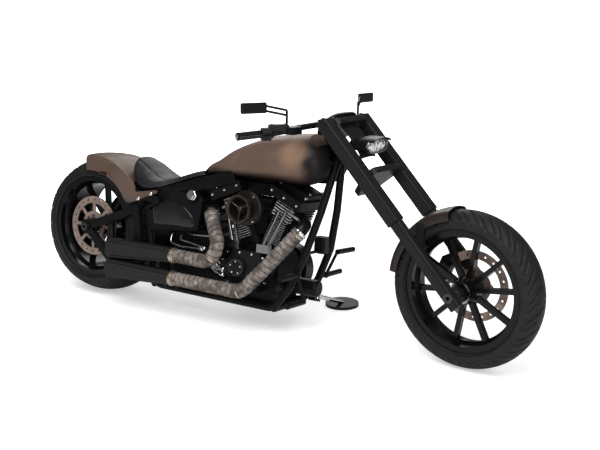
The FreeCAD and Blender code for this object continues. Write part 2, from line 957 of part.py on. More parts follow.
def swingarm():
    """Two open frames of flat bars, joined by the pivot tube ahead of the tyre."""
    top = spot(size.arm_top_x, 0, size.arm_top_z)
    pivot = spot(size.pivot_x, 0, size.pivot_z)
    elbow = spot(size.elbow_x, 0, size.elbow_z)
    knee = spot(size.knee_x, 0, size.knee_z)
    shapes = []
    for low, high in ((-right_arm_outer, -right_arm_inner), (left_arm_inner, left_arm_outer)):
        corners = [rear_axle, top, elbow, pivot, knee, rear_axle]
        for first, last in zip(corners, corners[1:]):
            shapes.append(strap(first, last, size.arm_depth, low, high))
        shapes.append(strap(rear_axle, rear_axle + X, size.axle_plate_radius * 2, low, high))
    width = Y * float(right_arm_outer + left_arm_outer)
    side = Y * -float(right_arm_outer)
    shapes.append(bar(pivot + side, pivot + side + width, size.pivot_radius))
    over = Y * float(size.overrun)
    hole = bar(rear_axle + side - over, rear_axle + side + width + over,
               size.axle_radius + size.seat_gap)
    return solid(join(shapes).cut(hole), "swingarm", "frame")


swingarm()


# Side stand
stand_root = spot(size.stand_x, size.stand_half, size.stand_z)
floor_up = LEAN.inverse().Rotation.multVec(Z)
foot_top = spot(size.foot_x, size.foot_half,
                (size.foot_thickness - floor_up.y * size.foot_half) / floor_up.z)
leg_way = (foot_top - stand_root).normalize()
stand_axis = spot(-math.tan(math.radians(size.stand_tilt_angle)), -leg_way.z, leg_way.y).normalize()
STAND = Placement(stand_root, Rotation(-leg_way, Y, stand_axis, "ZXY"))


def stand_bracket():
    """The fork that holds the stand's eye and pin, from the left bottom rail."""
    half_eye = size.stand_eye_height / 2 + size.running_gap / 4
    reach = half_eye + size.stand_cheek
    wide = size.stand_eye_radius - size.stand_pin_radius / 3
    start = size.stand_eye_radius + size.running_gap
    shapes = [block(spot(start, -wide, -reach), spot(start + size.stand_yoke, wide, reach)),
              Part.makeCylinder(float(size.stand_pin_radius), float(reach * 2),
                                spot(0, 0, -reach), Z)]
    for low in (-reach, half_eye):
        shapes.append(block(spot(0, -wide, low), spot(start, wide, low + size.stand_cheek)))
        shapes.append(Part.makeCylinder(float(wide), float(size.stand_cheek), spot(0, 0, low), Z))
    made = join(shapes)
    made.Placement = STAND
    return made


def side_stand():
    """The chromed leg with its eye, and the round foot plate under its end."""
    half_eye = size.stand_eye_height / 2
    eye = Part.makeCylinder(float(size.stand_eye_radius), float(half_eye * 2),
                            spot(0, 0, -half_eye), Z)
    hole = Part.makeCylinder(float(size.stand_pin_radius + size.seat_gap), float(half_eye * 4),
                             spot(0, 0, -half_eye * 2), Z)
    eye.Placement = STAND
    hole.Placement = STAND
    leg = bar(stand_root, foot_top, size.stand_leg_radius)
    ball = Part.makeSphere(float(size.stand_leg_radius), foot_top)
    plate = bar(foot_top, foot_top - floor_up * float(size.foot_thickness), size.foot_radius)
    solid(join([eye, leg, ball]).cut(hole).cut(plate), "stand_leg", "frame")
    solid(plate, "stand_foot", "frame")


side_stand()


# Frame
def spine():
    """The neck, the backbone in the tank's tunnel and the twin top rails to the rear."""
    neck = Part.makeCylinder(float(size.neck_radius), float(size.neck_low + size.neck_high),
                             HEAD.multVec(spot(0, 0, -size.neck_low)), head_axis)
    bore = Part.makeCylinder(float(size.stem_radius + size.seat_gap),
                             float(size.neck_low + size.neck_high + 2 * size.overrun),
                             HEAD.multVec(spot(0, 0, -size.neck_low - size.overrun)), head_axis)
    back = [
        head,
        behind_head(size.spine_front_behind, 0, -size.spine_front_drop),
        spot(size.spine_mid_x, 0, size.spine_mid_z),
        spot(size.spine_end_x, 0, size.spine_end_z),
    ]
    shapes = [neck, tube(back, size.spine_radius, size.tube_bend)]
    for side in SIDES:
        rail = [
            spot(size.spine_end_x, 0, size.spine_end_z),
            spot(size.top_rail_mid_x, side * size.top_rail_mid_half, size.top_rail_mid_z),
            spot(size.post_top_x, side * size.rail_half, size.post_top_z),
        ]
        shapes.append(tube(rail, size.rail_radius, size.tube_bend))
    return solid(join(shapes).cut(bore), "frame_spine", "frame")


def cradle():
    """The twin downtubes, bottom rails and rear posts, cut to meet the neck and top rails."""
    shapes = []
    for side in SIDES:
        run = [
            behind_head(size.downtube_top_behind, side * size.downtube_top_half,
                        -size.downtube_top_drop),
            behind_head(size.downtube_neck_behind, side * size.downtube_neck_half,
                        -size.downtube_neck_drop),
            spot(size.downtube_mid_x, side * size.downtube_mid_half, size.downtube_mid_z),
            spot(size.downtube_low_x, side * size.rail_half, size.downtube_low_z),
            spot(size.rail_front_x, side * size.rail_half, size.rail_z),
            spot(size.rail_rear_x, side * size.rail_half, size.rail_z),
            spot(size.post_mid_x, side * size.rail_half, size.post_mid_z),
            spot(size.post_top_x, side * size.rail_half, size.post_top_z),
        ]
        shapes.append(tube(run, size.rail_radius, size.tube_bend))
        lug = strap(spot(size.post_mid_x, 0, size.pivot_z), spot(size.pivot_x, 0, size.pivot_z),
                    size.pivot_radius * 3, side * size.rail_half - size.rail_radius / 2,
                    side * size.rail_half + size.rail_radius / 2)
        shapes.append(lug)
    for x, z in ((size.rail_rear_x, size.rail_z), (size.rail_front_x, size.rail_z)):
        shapes.append(bar(spot(x, -size.rail_half, z), spot(x, size.rail_half, z),
                          size.rail_radius))
    shapes.append(stand_bracket())
    made = join(shapes)
    pivot = spot(size.pivot_x, 0, size.pivot_z)
    made = made.cut(bar(pivot - Y * float(size.cover_half), pivot + Y * float(size.cover_half),
                        size.pivot_radius + size.seat_gap))
    return made


frame_spine = spine()
frame_cradle = cradle()
neck_envelope = frame_spine.Shape.copy()
neck_envelope.Placement = Placement()
frame_cradle_piece = solid(frame_cradle.cut(neck_envelope), "frame_cradle", "frame")


# Fenders
def fender(label, group, radius, width, skirt, start, sweep):
    """A crowned shell that is turned part of the way round the axle."""
    body = new_body(label)
    half, corner, wall = width / 2, size.fender_corner, size.fender_wall
    flat = half - corner
    rise = corner * (1 - math.sqrt(HALF))
    side = radius - size.fender_crown - corner
    top = radius - size.fender_crown
    inner_corner = corner - wall
    inner_rise = inner_corner * (1 - math.sqrt(HALF))
    revolve(body, [
        (skirt, half),
        (skirt, half - wall),
        (side, half - wall),
        (top - wall, flat, inner_rise),
        (top - wall, -flat, size.fender_crown),
        (side, wall - half, inner_rise),
        (skirt, wall - half),
        (skirt, -half),
        (side, -half),
        (top, -flat, -rise),
        (top, flat, -size.fender_crown),
        (side, half, -rise),
    ], sweep)
    return keep(body, label, group, turn(Y, -start))


fender("front_fender", "front_wheel", size.front_fender_radius, size.front_fender_width,
       size.front_fender_skirt, size.front_fender_start_angle + size.front_fender_sweep_angle,
       size.front_fender_sweep_angle)
rear_fender = fender("rear_fender", "rear_wheel", size.rear_fender_radius,
                     size.rear_fender_width, size.rear_fender_skirt,
                     size.rear_fender_start_angle, size.rear_fender_sweep_angle)

# Seat and tank. Each row is shares of (length, half width, top, bottom, middle height).
SEAT_SHARES = [
    (0.0, 0.35, 0.86, 0.62, 0.76),
    (0.05, 0.58, 0.97, 0.36, 0.66),
    (0.12, 0.80, 0.88, 0.10, 0.50),
    (0.26, 0.96, 0.62, -0.06, 0.30),
    (0.40, 1.00, 0.42, -0.02, 0.22),
    (0.50, 0.90, 0.40, 0.08, 0.24),
    (0.65, 0.60, 0.52, 0.26, 0.39),
    (0.82, 0.42, 0.68, 0.46, 0.57),
    (1.0, 0.28, 0.80, 0.62, 0.71),
]
TANK_SHARES = [
    (0.0, 0.14, 0.06, 0.00, 0.03),
    (0.05, 0.32, 0.16, -0.02, 0.07),
    (0.10, 0.46, 0.27, -0.02, 0.11),
    (0.16, 0.56, 0.36, -0.01, 0.15),
    (0.25, 0.68, 0.54, 0.00, 0.20),
    (0.36, 0.80, 0.70, 0.02, 0.25),
    (0.50, 0.90, 0.85, 0.03, 0.30),
    (0.64, 0.97, 0.94, 0.03, 0.34),
    (0.84, 0.98, 0.99, 0.03, 0.40),
    (0.92, 0.86, 0.91, 0.09, 0.43),
    (0.975, 0.62, 0.76, 0.22, 0.45),
    (1.0, 0.30, 0.60, 0.36, 0.48),
]


def hull(shares, rear, front, base, rise, half, power):
    """A closed smooth form through upright sections along the motorcycle."""
    wires = []
    for along, wide, high, low, middle in shares:
        centre = spot(rear + (front - rear) * along, 0, base + rise * middle)
        wires.append(section(centre, Y, Z, float(half * wide), float(rise * (high - middle)),
                             float(rise * (middle - low)), float(power)))
    return Part.makeLoft(wires, True, False)


def tank():
    """The fuel tank, with a tunnel below that clears the backbone."""
    made = hull(TANK_SHARES, size.tank_tail_x, size.tank_front_x, size.tank_base_z,
                size.tank_rise, size.tank_half, size.tank_power)
    clear = size.spine_radius + size.tunnel_gap
    far = size.overrun
    floor = size.tank_base_z - far
    outline = [
        spot(size.spine_end_x - far * 2, -size.tunnel_half, floor),
        spot(size.spine_end_x - far * 2, -size.tunnel_half, size.spine_end_z + clear - far),
        spot(size.spine_end_x, -size.tunnel_half, size.spine_end_z + clear),
        spot(size.spine_mid_x, -size.tunnel_half, size.spine_mid_z + clear),
        behind_head(size.spine_front_behind, -size.tunnel_half, clear - size.spine_front_drop),
        spot(head.x, -size.tunnel_half, head.z + clear),
        spot(head.x, -size.tunnel_half, floor),
    ]
    face = Part.Face(Part.makePolygon(outline + outline[:1]))
    made = made.cut(face.extrude(Y * float(size.tunnel_half * 2)))
    neck = Part.makeCylinder(float(size.neck_radius + size.tunnel_gap),
                             float(size.neck_low + size.neck_high + size.overrun),
                             HEAD.multVec(spot(0, 0, -size.neck_low)), head_axis)
    behind = size.yoke_waist * math.sqrt(2) + size.running_gap * 2
    low = size.upper_tree_rise - size.running_gap
    swing = block(spot(-behind, -size.tank_half - far, low),
                  spot(size.tank_half * 2, size.tank_half + far, low + size.tank_half))
    swing.Placement = HEAD
    return solid(made.cut(neck).cut(swing), "fuel_tank", "frame")


fuel_tank = tank()


def seat():
    """The solo seat, hollowed below where the fender, the rails and the tank stand."""
    made = hull(SEAT_SHARES, size.seat_back_x, size.seat_nose_x, size.seat_base_z,
                size.seat_rise, size.seat_half, size.seat_power)
    wide = size.seat_half * 2 + size.overrun
    drum = Part.makeCylinder(float(size.rear_radius + size.seat_clearance), float(wide),
                             rear_axle - Y * float(wide) * HALF, Y)
    pie = Part.makeCylinder(float(size.rear_fender_radius + size.seat_gap), float(wide),
                            spot(0, 0, -wide / 2), Z, float(size.rear_fender_sweep_angle))
    start = size.rear_fender_start_angle - size.rear_fender_sweep_angle
    pie.Placement = Placement(rear_axle, Rotation(Y, -float(start)).multiply(
        Rotation(X, QUARTER_TURN)))
    made = made.cut(drum).cut(pie)
    for piece in (fuel_tank, frame_spine):
        made = made.cut(upright(piece))
    return solid(made, "seat", "frame")


seat()


# Engine
crank = spot(size.crank_x, 0, size.crank_z)
BANKS = {"front": size.bank_angle, "rear": -size.bank_angle}


def bank(name):
    """The frame of one cylinder: Z up its axis from the crankshaft."""
    return Placement(crank, Rotation(Y, float(BANKS[name])))


def centred(middle, length, width, height):
    """A box about a point, standing on it."""
    half = spot(length / 2, width / 2, 0)
    return block(middle - half, middle + half + spot(0, 0, height))


SUMP_SHARE = 1.7


def crankcase():
    """The round case, its sump and the two decks that carry the cylinders."""
    width = Y * float(size.case_half * 2)
    case = Part.makeCylinder(float(size.crank_radius), width.Length, crank - width * HALF, Y)
    sump = centred(spot(size.crank_x, 0, size.crank_z - size.crank_radius + size.seat_gap),
                   size.crank_radius * SUMP_SHARE, size.case_half * 2,
                   size.crank_radius)
    shapes = [case, sump]
    for name in BANKS:
        deck = Part.makeCylinder(float(size.barrel_radius + size.fin_pitch),
                                 float(size.deck_height), ORIGIN, Z)
        deck.Placement = bank(name)
        shapes.append(deck)
    return solid(join(shapes), "crankcase", "frame")


def cylinder(name):
    """A finned barrel and head with the stub of its exhaust port."""
    label = "cylinder_" + name
    body = new_body(label)
    top = size.barrel_length + size.head_length
    pad(body, "XY_Plane", [(0, 0, size.barrel_radius)], top, size.deck_height + 0)
    barrel_fin = rounded(0, 0, size.fin_length, size.fin_width, size.fin_corner)
    first = pad(body, "XY_Plane", [barrel_fin], size.fin_thickness, size.deck_height + 0)
    stack(body, first, size.fin_pitch, size.barrel_fin_count)
    head_start = size.deck_height + size.barrel_length
    head_fin = rounded(0, 0, size.head_depth, size.head_width, size.fin_corner)
    fin = pad(body, "XY_Plane", [head_fin], size.head_fin_thickness, head_start)
    stack(body, fin, size.head_fin_pitch, size.head_fin_count)
    stub = pad(body, "YZ_Plane", [(-size.port_half, port_height, size.port_radius)],
               size.port_reach)
    stub.Reversed = name == "rear"
    return keep(body, label, "frame", bank(name))


def stack(body, feature, pitch, count):
    """Copies a feature up the body's Z axis."""
    pattern = body.newObject("PartDesign::LinearPattern", "stack")
    pattern.Originals = [feature]
    pattern.Direction = (datum(body, "Z_Axis"), [""])
    bind(pattern, "Length", pitch * (count - 1))
    bind(pattern, "Occurrences", count)
    body.Tip = pattern
    return pattern


port_height = size.deck_height + size.barrel_length + size.head_length / 2
crankcase_piece = crankcase()
cylinders = {name: cylinder(name) for name in BANKS}


def rocker_covers():
    """One two-part cover on each head."""
    covers = []
    start = size.deck_height + size.barrel_length + size.head_length
    for name in BANKS:
        shift = (size.rocker_base_width - size.rocker_width) / 2
        base = centred(spot(0, -shift, start), size.rocker_length, size.rocker_base_width,
                       size.rocker_base_height)
        top_base = start + size.rocker_base_height
        cap = centred(spot(0, 0, top_base), size.rocker_length - size.rocker_corner,
                      size.rocker_width, size.rocker_height - size.rocker_base_height)
        middle_z = float(top_base + start + size.rocker_height) * HALF
        rim_edges = [edge for edge in cap.Edges if edge.BoundBox.ZMin > middle_z]
        cap = cap.makeFillet(float(size.rocker_corner / 2), rim_edges)
        cover = join([base, cap])
        cover.Placement = bank(name)
        covers.append(cover)
    return solid(Part.makeCompound(covers), "rocker_covers", "frame")


def pushrods():
    """Two slanting tubes on each bank, in the block that they rise from."""
    shapes = []
    low_y, high_y = -size.pushrod_half, -(size.head_width / 2 + size.pushrod_radius * 2)
    low_z = cam_z + (size.cam_height + size.lifter_height) / 2 + size.seat_gap
    for way in SIDES:
        tubes = []
        for step in range(PUSHRODS_PER_BANK):
            low_x = size.crank_x + way * (size.pushrod_low_ahead + size.pushrod_low_gap * step)
            high_x = size.crank_x + way * (size.pushrod_high_ahead + size.pushrod_high_gap * step)
            tubes.append(bar(spot(low_x, low_y, low_z),
                             spot(high_x, high_y, size.crank_z + size.pushrod_rise),
                             size.pushrod_radius))
        middle = size.crank_x + way * (size.pushrod_low_ahead + size.pushrod_low_gap / 2)
        lifter = centred(spot(middle, low_y, low_z - size.lifter_height / 2),
                         size.lifter_width, size.lifter_depth, size.lifter_height)
        shapes.append(join([lifter] + tubes))
    return solid(Part.makeCompound(shapes), "pushrod_tubes", "frame")


PUSHRODS_PER_BANK = 2
cam_x = size.crank_x - size.cam_behind
cam_z = size.crank_z + size.cam_rise
points_z = size.crank_z + size.points_rise
cleaner = spot(size.crank_x + size.cleaner_ahead, 0, size.crank_z + size.cleaner_rise)
rocker_covers()
pushrods()


def cam_cover():
    """The cover on the right of the case, with a raised round plate."""
    body = new_body("cam_cover")
    wide, corner = size.cam_half_length * 2, size.cam_height / 3
    shape = rounded(cam_x, cam_z, wide, size.cam_height, corner)
    pad(body, "XZ_Plane", [shape], size.cam_depth, size.case_half + 0)
    plate = [(size.crank_x - size.points_behind, points_z, size.points_radius)]
    pad(body, "XZ_Plane", plate, size.points_depth, size.case_half + size.cam_depth)
    return keep(body, "cam_cover", "frame")


def air_cleaner():
    """The air cleaner's round plate, its open bell with a middle bolt, and the pipe behind."""
    body = new_body("air_cleaner")
    ring, pipe, bell = size.cleaner_ring, size.cleaner_pipe, size.bell_radius
    floor = size.cleaner_outer - size.bell_depth
    revolve(body, [
        (0, -floor - ring),
        (size.bell_core, -floor - ring),
        (size.bell_core + ring, 0 - floor),
        (bell - ring * 2, 0 - floor),
        (bell - ring, -size.cleaner_outer + ring / 2),
        (bell - ring / 2, -size.cleaner_outer),
        (bell, -size.cleaner_outer + ring / 2),
        (bell - ring / 2, -size.cleaner_middle - ring / 2),
        (size.cleaner_radius - ring / 2, -size.cleaner_middle),
        (size.cleaner_radius, -size.cleaner_middle + ring / 2),
        (size.cleaner_radius, -size.cleaner_inner - ring / 2),
        (size.cleaner_radius - ring, -size.cleaner_inner),
        (pipe, -size.cleaner_inner),
        (pipe, -size.barrel_radius),
        (0, -size.barrel_radius),
    ])
    return keep(body, "air_cleaner", "frame", Placement(cleaner, Rotation()))


def intake():
    """The pipe between the two heads, and the carburettor that it leads to."""
    middle = spot(size.crank_x, -size.intake_half, cleaner.z + size.intake_lift)
    across = X * float(size.head_depth)
    pipe = bar(middle - across, middle + across, size.intake_radius)
    for name in BANKS:
        envelope = centred(ORIGIN, size.head_depth + size.seat_gap * 2, size.head_width,
                           size.deck_height + size.barrel_length * 2)
        envelope.Placement = bank(name)
        pipe = pipe.cut(envelope)
    pipe = max(pipe.Solids, key=lambda item: -abs(item.CenterOfMass.x - size.crank_x))
    half, wide = size.intake_radius + size.seat_gap, size.barrel_radius - size.seat_gap
    body = block(spot(cleaner.x - half, -wide, cleaner.z - half),
                 spot(cleaner.x + half, -size.intake_half / 2, cleaner.z + half))
    return solid(join([pipe, body]), "intake", "frame")


cam_cover()
air_cleaner()
intake()


def primary_cover():
    """The belt drive's long cover outside the final belt, and its spacer on the crankcase."""
    inner = belt_outer + size.running_gap
    clutch = spot(size.clutch_x, 0, size.clutch_z)
    front = Part.makeCylinder(float(size.primary_front_radius), float(size.primary_depth),
                              spot(crank.x, inner, crank.z), Y)
    rear = Part.makeCylinder(float(size.primary_rear_radius), float(size.primary_depth),
                             spot(clutch.x, inner, clutch.z), Y)
    middle = strap(crank, clutch, size.primary_rear_radius * 2, inner,
                   inner + size.primary_depth)
    spacer = Part.makeCylinder(float(size.primary_front_radius - size.fin_corner),
                               float(inner - size.case_half),
                               spot(crank.x, size.case_half, crank.z), Y)
    return solid(join([front, rear, middle, spacer]), "primary_cover", "frame")


def gearbox():
    """The gearbox block and the final drive's small pulley on its left."""
    corner = size.gearbox_corner
    box = block(spot(size.gearbox_rear_x, -size.gearbox_half, size.gearbox_low_z),
                spot(size.gearbox_front_x, size.gearbox_half, size.gearbox_high_z))
    box = box.makeFillet(float(corner), [edge for edge in box.Edges
                                         if abs(edge.tangentAt(edge.FirstParameter).y) > HALF])
    shaft = spot(size.sprocket_x, 0, size.sprocket_z)
    neck = bar(shaft, shaft + Y * float(belt_inner), size.pivot_radius)
    wheel = bar(shaft + Y * float(belt_inner), shaft + Y * float(belt_outer),
                size.sprocket_radius)
    case = Part.makeCylinder(float(size.crank_radius + size.seat_gap), float(size.case_half * 3),
                             crank - Y * float(size.case_half * 3 / 2), Y)
    return solid(join([box, neck, wheel]).cut(case), "gearbox", "frame")


def belt():
    """The final belt, a closed loop round both pulleys."""
    first, last = rear_axle, spot(size.sprocket_x, 0, size.sprocket_z)
    rings = []
    for grow in (size.belt_gap + size.belt_thickness, size.belt_gap):
        rings.append(loop_plate(first, last, size.pulley_radius + grow,
                                size.sprocket_radius + grow, belt_inner, belt_outer))
    return solid(rings[0].cut(rings[1]), "drive_belt", "frame")


def loop_plate(first, last, big, small, inner, outer):
    """A plate whose edge is a belt's line round two circles."""
    way = last - first
    distance = way.Length
    lead = math.acos((float(big) - float(small)) / distance)
    heading = math.atan2(way.z, way.x)
    corners = []
    for centre, radius, sign in ((first, big, 1), (last, small, 1), (last, small, -1),
                                 (first, big, -1)):
        angle = heading + sign * lead
        corners.append(spot(centre.x, inner, centre.z)
                       + Vector(math.cos(angle), 0, math.sin(angle)) * float(radius))
    across = Y * float(outer - inner)
    plate = Part.Face(Part.makePolygon(corners + corners[:1])).extrude(across)
    ends = [Part.makeCylinder(float(radius), across.Length, spot(centre.x, inner, centre.z), Y)
            for centre, radius in ((first, big), (last, small))]
    return join([plate] + ends)


primary_cover()
gearbox()
belt()


def oil_tank():
    """The oil tank between the frame tubes, with a cover panel on each side and a cap."""
    tank_block = block(spot(size.oil_rear_x, -size.oil_half, size.oil_low_z),
                       spot(size.oil_front_x, size.oil_half, size.oil_high_z))
    shapes = [tank_block.makeFillet(float(size.rocker_corner), [
        edge for edge in tank_block.Edges if abs(edge.tangentAt(edge.FirstParameter).y) > HALF])]
    middle_x = (size.oil_rear_x + size.oil_front_x) / 2
    middle_z = (size.oil_low_z + size.oil_high_z) / 2
    for side in SIDES:
        outer, inner = side * size.cover_half, side * (size.cover_half - size.cover_thickness)
        outline = [
            spot(size.cover_rear_x, outer, size.post_top_z - size.rail_radius),
            spot(size.cover_rear_x + size.rail_radius, outer,
                 size.oil_low_z - (size.overrun if side < 0 else 0)),
            spot(size.oil_front_x, outer, size.oil_low_z),
            spot(size.cover_front_x, outer, size.oil_high_z),
            spot(size.oil_front_x, outer, size.oil_high_z + size.overrun),
            spot(size.top_rail_mid_x, outer, size.oil_high_z + size.oil_cap_height),
        ]
        panel = Part.Face(Part.makePolygon(outline + outline[:1])).extrude(Y * float(inner - outer))
        boss = bar(spot(middle_x, 0, middle_z), spot(middle_x, inner, middle_z),
                   size.boss_radius)
        shapes += [panel, boss]
    cap = spot(size.oil_front_x - size.overrun, -size.cover_half, size.oil_high_z)
    shapes.append(bar(cap, cap - Y * float(size.oil_cap_height), size.oil_cap_radius))
    made = join(shapes)
    for piece in (frame_spine, frame_cradle_piece):
        made = made.cut(upright(piece))
    return solid(made, "oil_tank", "frame")


def oil_lines():
    """Steel-braided lines from the oil tank's front to the cam cover."""
    lines = []
    start_x = size.oil_front_x + size.seat_gap
    end_x = cam_x - size.cam_half_length - size.seat_gap
    out = -(size.case_half + size.cam_depth / 2)
    for step in range(int(size.oil_line_count)):
        shift = size.oil_line_pitch * step
        high = size.oil_low_z + size.oil_line_lift + shift
        low = points_z - size.oil_line_drop + shift
        lines.append(tube([
            spot(start_x, -size.oil_line_half, high),
            spot(start_x + size.overrun + shift, -size.oil_line_half, high),
            spot(end_x - size.oil_line_lead + shift, out, high - size.points_radius),
            spot(end_x - size.overrun * 2 + shift, out, low),
            spot(end_x, out, low),
        ], size.oil_line_radius, size.overrun))
    return solid(Part.makeCompound(lines), "oil_lines", "frame")


oil_tank()
oil_lines()


# Exhaust
def elbow(name):
    """The middle of the elbow that a header starts with, just ahead of its port."""
    side = 1 if name == "front" else -1
    return bank(name).multVec(spot(side * (size.port_reach + size.pipe_lead), -size.port_half,
                                   port_height))


def header(name, points):
    """A wrapped pipe that starts in a round elbow over its head's port."""
    shapes = [tube(points, size.pipe_radius, size.pipe_bend),
              Part.makeSphere(float(size.pipe_radius), points[0])]
    made = join(shapes).cut(upright(cylinders[name]))
    made = max(made.Solids, key=lambda item: item.Volume)
    return solid(made, name + "_header", "frame")


def headers():
    """The two wrapped pipes from the heads to the mufflers."""
    end_x = size.muffler_front_x + size.seat_gap
    side = -size.exhaust_half
    header("front", [
        elbow("front"),
        crank + spot(size.front_knee_ahead, -size.front_knee_half, size.front_knee_rise),
        crank + spot(size.front_shin_ahead, -size.front_shin_half, size.front_shin_rise),
        spot(crank.x + size.front_ankle_ahead, side, size.lower_pipe_z),
        spot(end_x, side, size.lower_pipe_z),
    ])
    header("rear", [
        elbow("rear"),
        crank + spot(-size.rear_hip_behind, -size.rear_hip_half, size.rear_hip_rise),
        crank + spot(-size.rear_knee_behind, side + size.muffler_wall, size.rear_knee_rise),
        spot(crank.x - size.rear_ankle_behind, side, size.upper_pipe_z),
        spot(end_x, side, size.upper_pipe_z),
    ])


def round_wire(points, place):
    """A wire in the YZ plane from (across, up) points with arcs, put in its place."""
    edges = []
    for index, point in enumerate(points):
        before = points[index - 1]
        first, last = spot(before[0], before[1], 0), spot(point[0], point[1], 0)
        if len(point) == 2:
            edges.append(Part.LineSegment(first, last).toShape())
        else:
            edges.append(arc_between(first, last, point[2]).toShape())
    wire = Part.Wire(Part.__sortEdges__(edges))
    wire.Placement = Placement(place, Rotation(Y, QUARTER_TURN).multiply(Rotation(Z, QUARTER_TURN)))
    return wire


def muffler(front_z, rear_z):
    """A flat box that deepens to the rear, with a hollow mouth."""
    def wire(x, z, wide, high):
        return round_wire(rounded(0, 0, wide, high, size.muffler_corner),
                          spot(x, -size.exhaust_half, z))
    made = Part.makeLoft([
        wire(size.muffler_front_x, front_z, size.muffler_front_width, size.muffler_front_height),
        wire(size.muffler_rear_x, rear_z, size.muffler_rear_width, size.muffler_rear_height),
    ], True, True)
    wall = size.muffler_wall * 2
    mouth = [wire(x, rear_z, size.muffler_rear_width - wall, size.muffler_rear_height - wall)
             for x in (size.muffler_rear_x - size.muffler_wall,
                       size.muffler_rear_x + size.muffler_mouth)]
    return made.cut(Part.makeLoft(mouth, True, True))


def mufflers():
    """The two mufflers, each on a hanger to the right-hand bottom rail."""
    shapes = []
    inner = size.exhaust_half - size.muffler_front_width / 2
    rail = size.rail_half + size.rail_radius
    for front_z, rear_z, share in ((size.upper_pipe_z, size.upper_muffler_z, UPPER_HANGER_SHARE),
                                   (size.lower_pipe_z, size.lower_muffler_z, LOWER_HANGER_SHARE)):
        x = size.muffler_rear_x + (size.muffler_front_x - size.muffler_rear_x) * share
        hanger = bar(spot(x, -rail + size.hanger_radius, size.rail_z),
                     spot(x, -inner - size.hanger_radius, front_z), size.hanger_radius)
        shapes.append(join([muffler(front_z, rear_z), hanger]))
    upper, lower = shapes
    made = Part.makeCompound([upper.cut(lower), lower])
    return solid(made.cut(upright(frame_cradle_piece)), "mufflers", "frame")


UPPER_HANGER_SHARE = 0.92
LOWER_HANGER_SHARE = 0.75
headers()
mufflers()


# Foot controls, horn and lamps
def foot_controls():
    """The forward pegs, the brake pedal on the right and the shifter on the left."""
    shapes = []
    for side, peg_x, peg_z in ((-1, size.peg_x, size.peg_z), (1, size.left_peg_x, size.left_peg_z)):
        share = (peg_z - size.downtube_low_z) / (size.downtube_mid_z - size.downtube_low_z)
        root_x = size.downtube_low_x + (size.downtube_mid_x - size.downtube_low_x) * share
        root = spot(root_x, side * size.rail_half, peg_z)
        inner = spot(peg_x, side * size.peg_inner_half, peg_z)
        outer = spot(peg_x, side * size.peg_outer_half, peg_z)
        joint = Part.makeSphere(float(size.peg_radius + size.control_plate / 4), inner)
        arm = bar(root, inner, size.control_plate)
        peg = bar(inner, outer, size.peg_radius)
        if side < 0:
            toe = spot(size.pedal_x, side * size.peg_inner_half, size.pedal_z)
            end = spot(size.pedal_x, side * size.peg_outer_half, size.pedal_z)
        else:
            toe = spot(size.shifter_arm_x, side * size.peg_inner_half, size.shifter_z)
            end = spot(size.shifter_x, side * size.peg_outer_half, size.shifter_z)
        lever = bar(inner, toe, size.pedal_radius)
        knuckle = Part.makeSphere(float(size.pedal_radius), toe)
        toe_bar = bar(toe, end, size.peg_radius)
        shapes.append(join([arm, joint, peg, lever, knuckle, toe_bar]))
    made = Part.makeCompound(shapes)
    return solid(made.cut(upright(frame_cradle_piece)), "foot_controls", "frame")


def ignition_coil():
    """The coil's box on its cross bar between the downtubes."""
    x = size.downtube_mid_x
    z = size.downtube_mid_z
    half = size.downtube_mid_half
    cross = bar(spot(x, -half, z), spot(x, half, z), size.pedal_radius)
    box = centred(spot(x, size.coil_width / 2, size.coil_z - size.coil_height / 2),
                  size.coil_length, size.coil_width, size.coil_height)
    box = box.makeFillet(float(size.caliper_corner), [
        edge for edge in box.Edges if abs(edge.tangentAt(edge.FirstParameter).z) > HALF])
    return solid(join([box, cross]).cut(upright(frame_cradle_piece)), "ignition_coil", "frame")


def oil_filter():
    """The round oil filter on the front of the crankcase, between the downtubes."""
    start = spot(size.crank_x + size.crank_radius / 2, 0, size.filter_z)
    shape = bar(start, spot(size.filter_front_x, 0, size.filter_z), size.filter_radius)
    front = [edge for edge in shape.Edges if edge.BoundBox.XMin > size.filter_front_x
             - size.seat_gap]
    shape = shape.makeFillet(float(size.caliper_corner), front)
    return solid(shape.cut(upright(crankcase_piece)), "oil_filter", "frame")


foot_controls()
ignition_coil()
oil_filter()


def caliper(side_y, angle, carrier_angle, face):
    """A caliper astride its rotor, and the plate that bolts it to what carries it."""
    reach = size.rotor_radius - size.caliper_reach
    long, high, wide = size.caliper_length, size.caliper_height, size.caliper_width
    body = block(spot(reach, side_y - wide / 2, -long / 2),
                 spot(reach + high, side_y + wide / 2, long / 2))
    edges = [edge for edge in body.Edges if abs(edge.tangentAt(edge.FirstParameter).y) > HALF]
    body = body.makeFillet(float(size.caliper_corner), edges)
    gap = size.rotor_thickness / 2 + size.pad_gap
    slot = Part.makeCylinder(float(size.rotor_radius + size.pad_gap), float(gap * 2),
                             spot(0, side_y - gap, 0), Y)
    made = body.cut(slot)
    made.Placement = turn(Y, -angle)
    middle = reach + high / 2
    places = [turn(Y, -way).multVec(spot(middle, 0, 0)) for way in (angle, carrier_angle)]
    sign = 1 if side_y > 0 else -1
    start = side_y + sign * (wide / 2 - size.caliper_corner / 2)
    stop = face - sign * size.seat_gap
    low, high_y = min(start, stop), max(start, stop)
    return join([made, strap(places[0], places[1], size.carrier_radius / 2, low, high_y)])


upper_arm_angle = math.degrees(math.atan2(size.arm_top_z - rear_z, size.arm_top_x))
leg_angle = QUARTER_TURN + size.rake_angle
solid(caliper(front_rotor_y, size.front_caliper_angle, leg_angle, slider_inner),
      "front_caliper", "front_wheel")
solid(caliper(-rear_rotor_y, size.rear_caliper_angle, upper_arm_angle, -right_arm_inner),
      "rear_caliper", "rear_wheel")


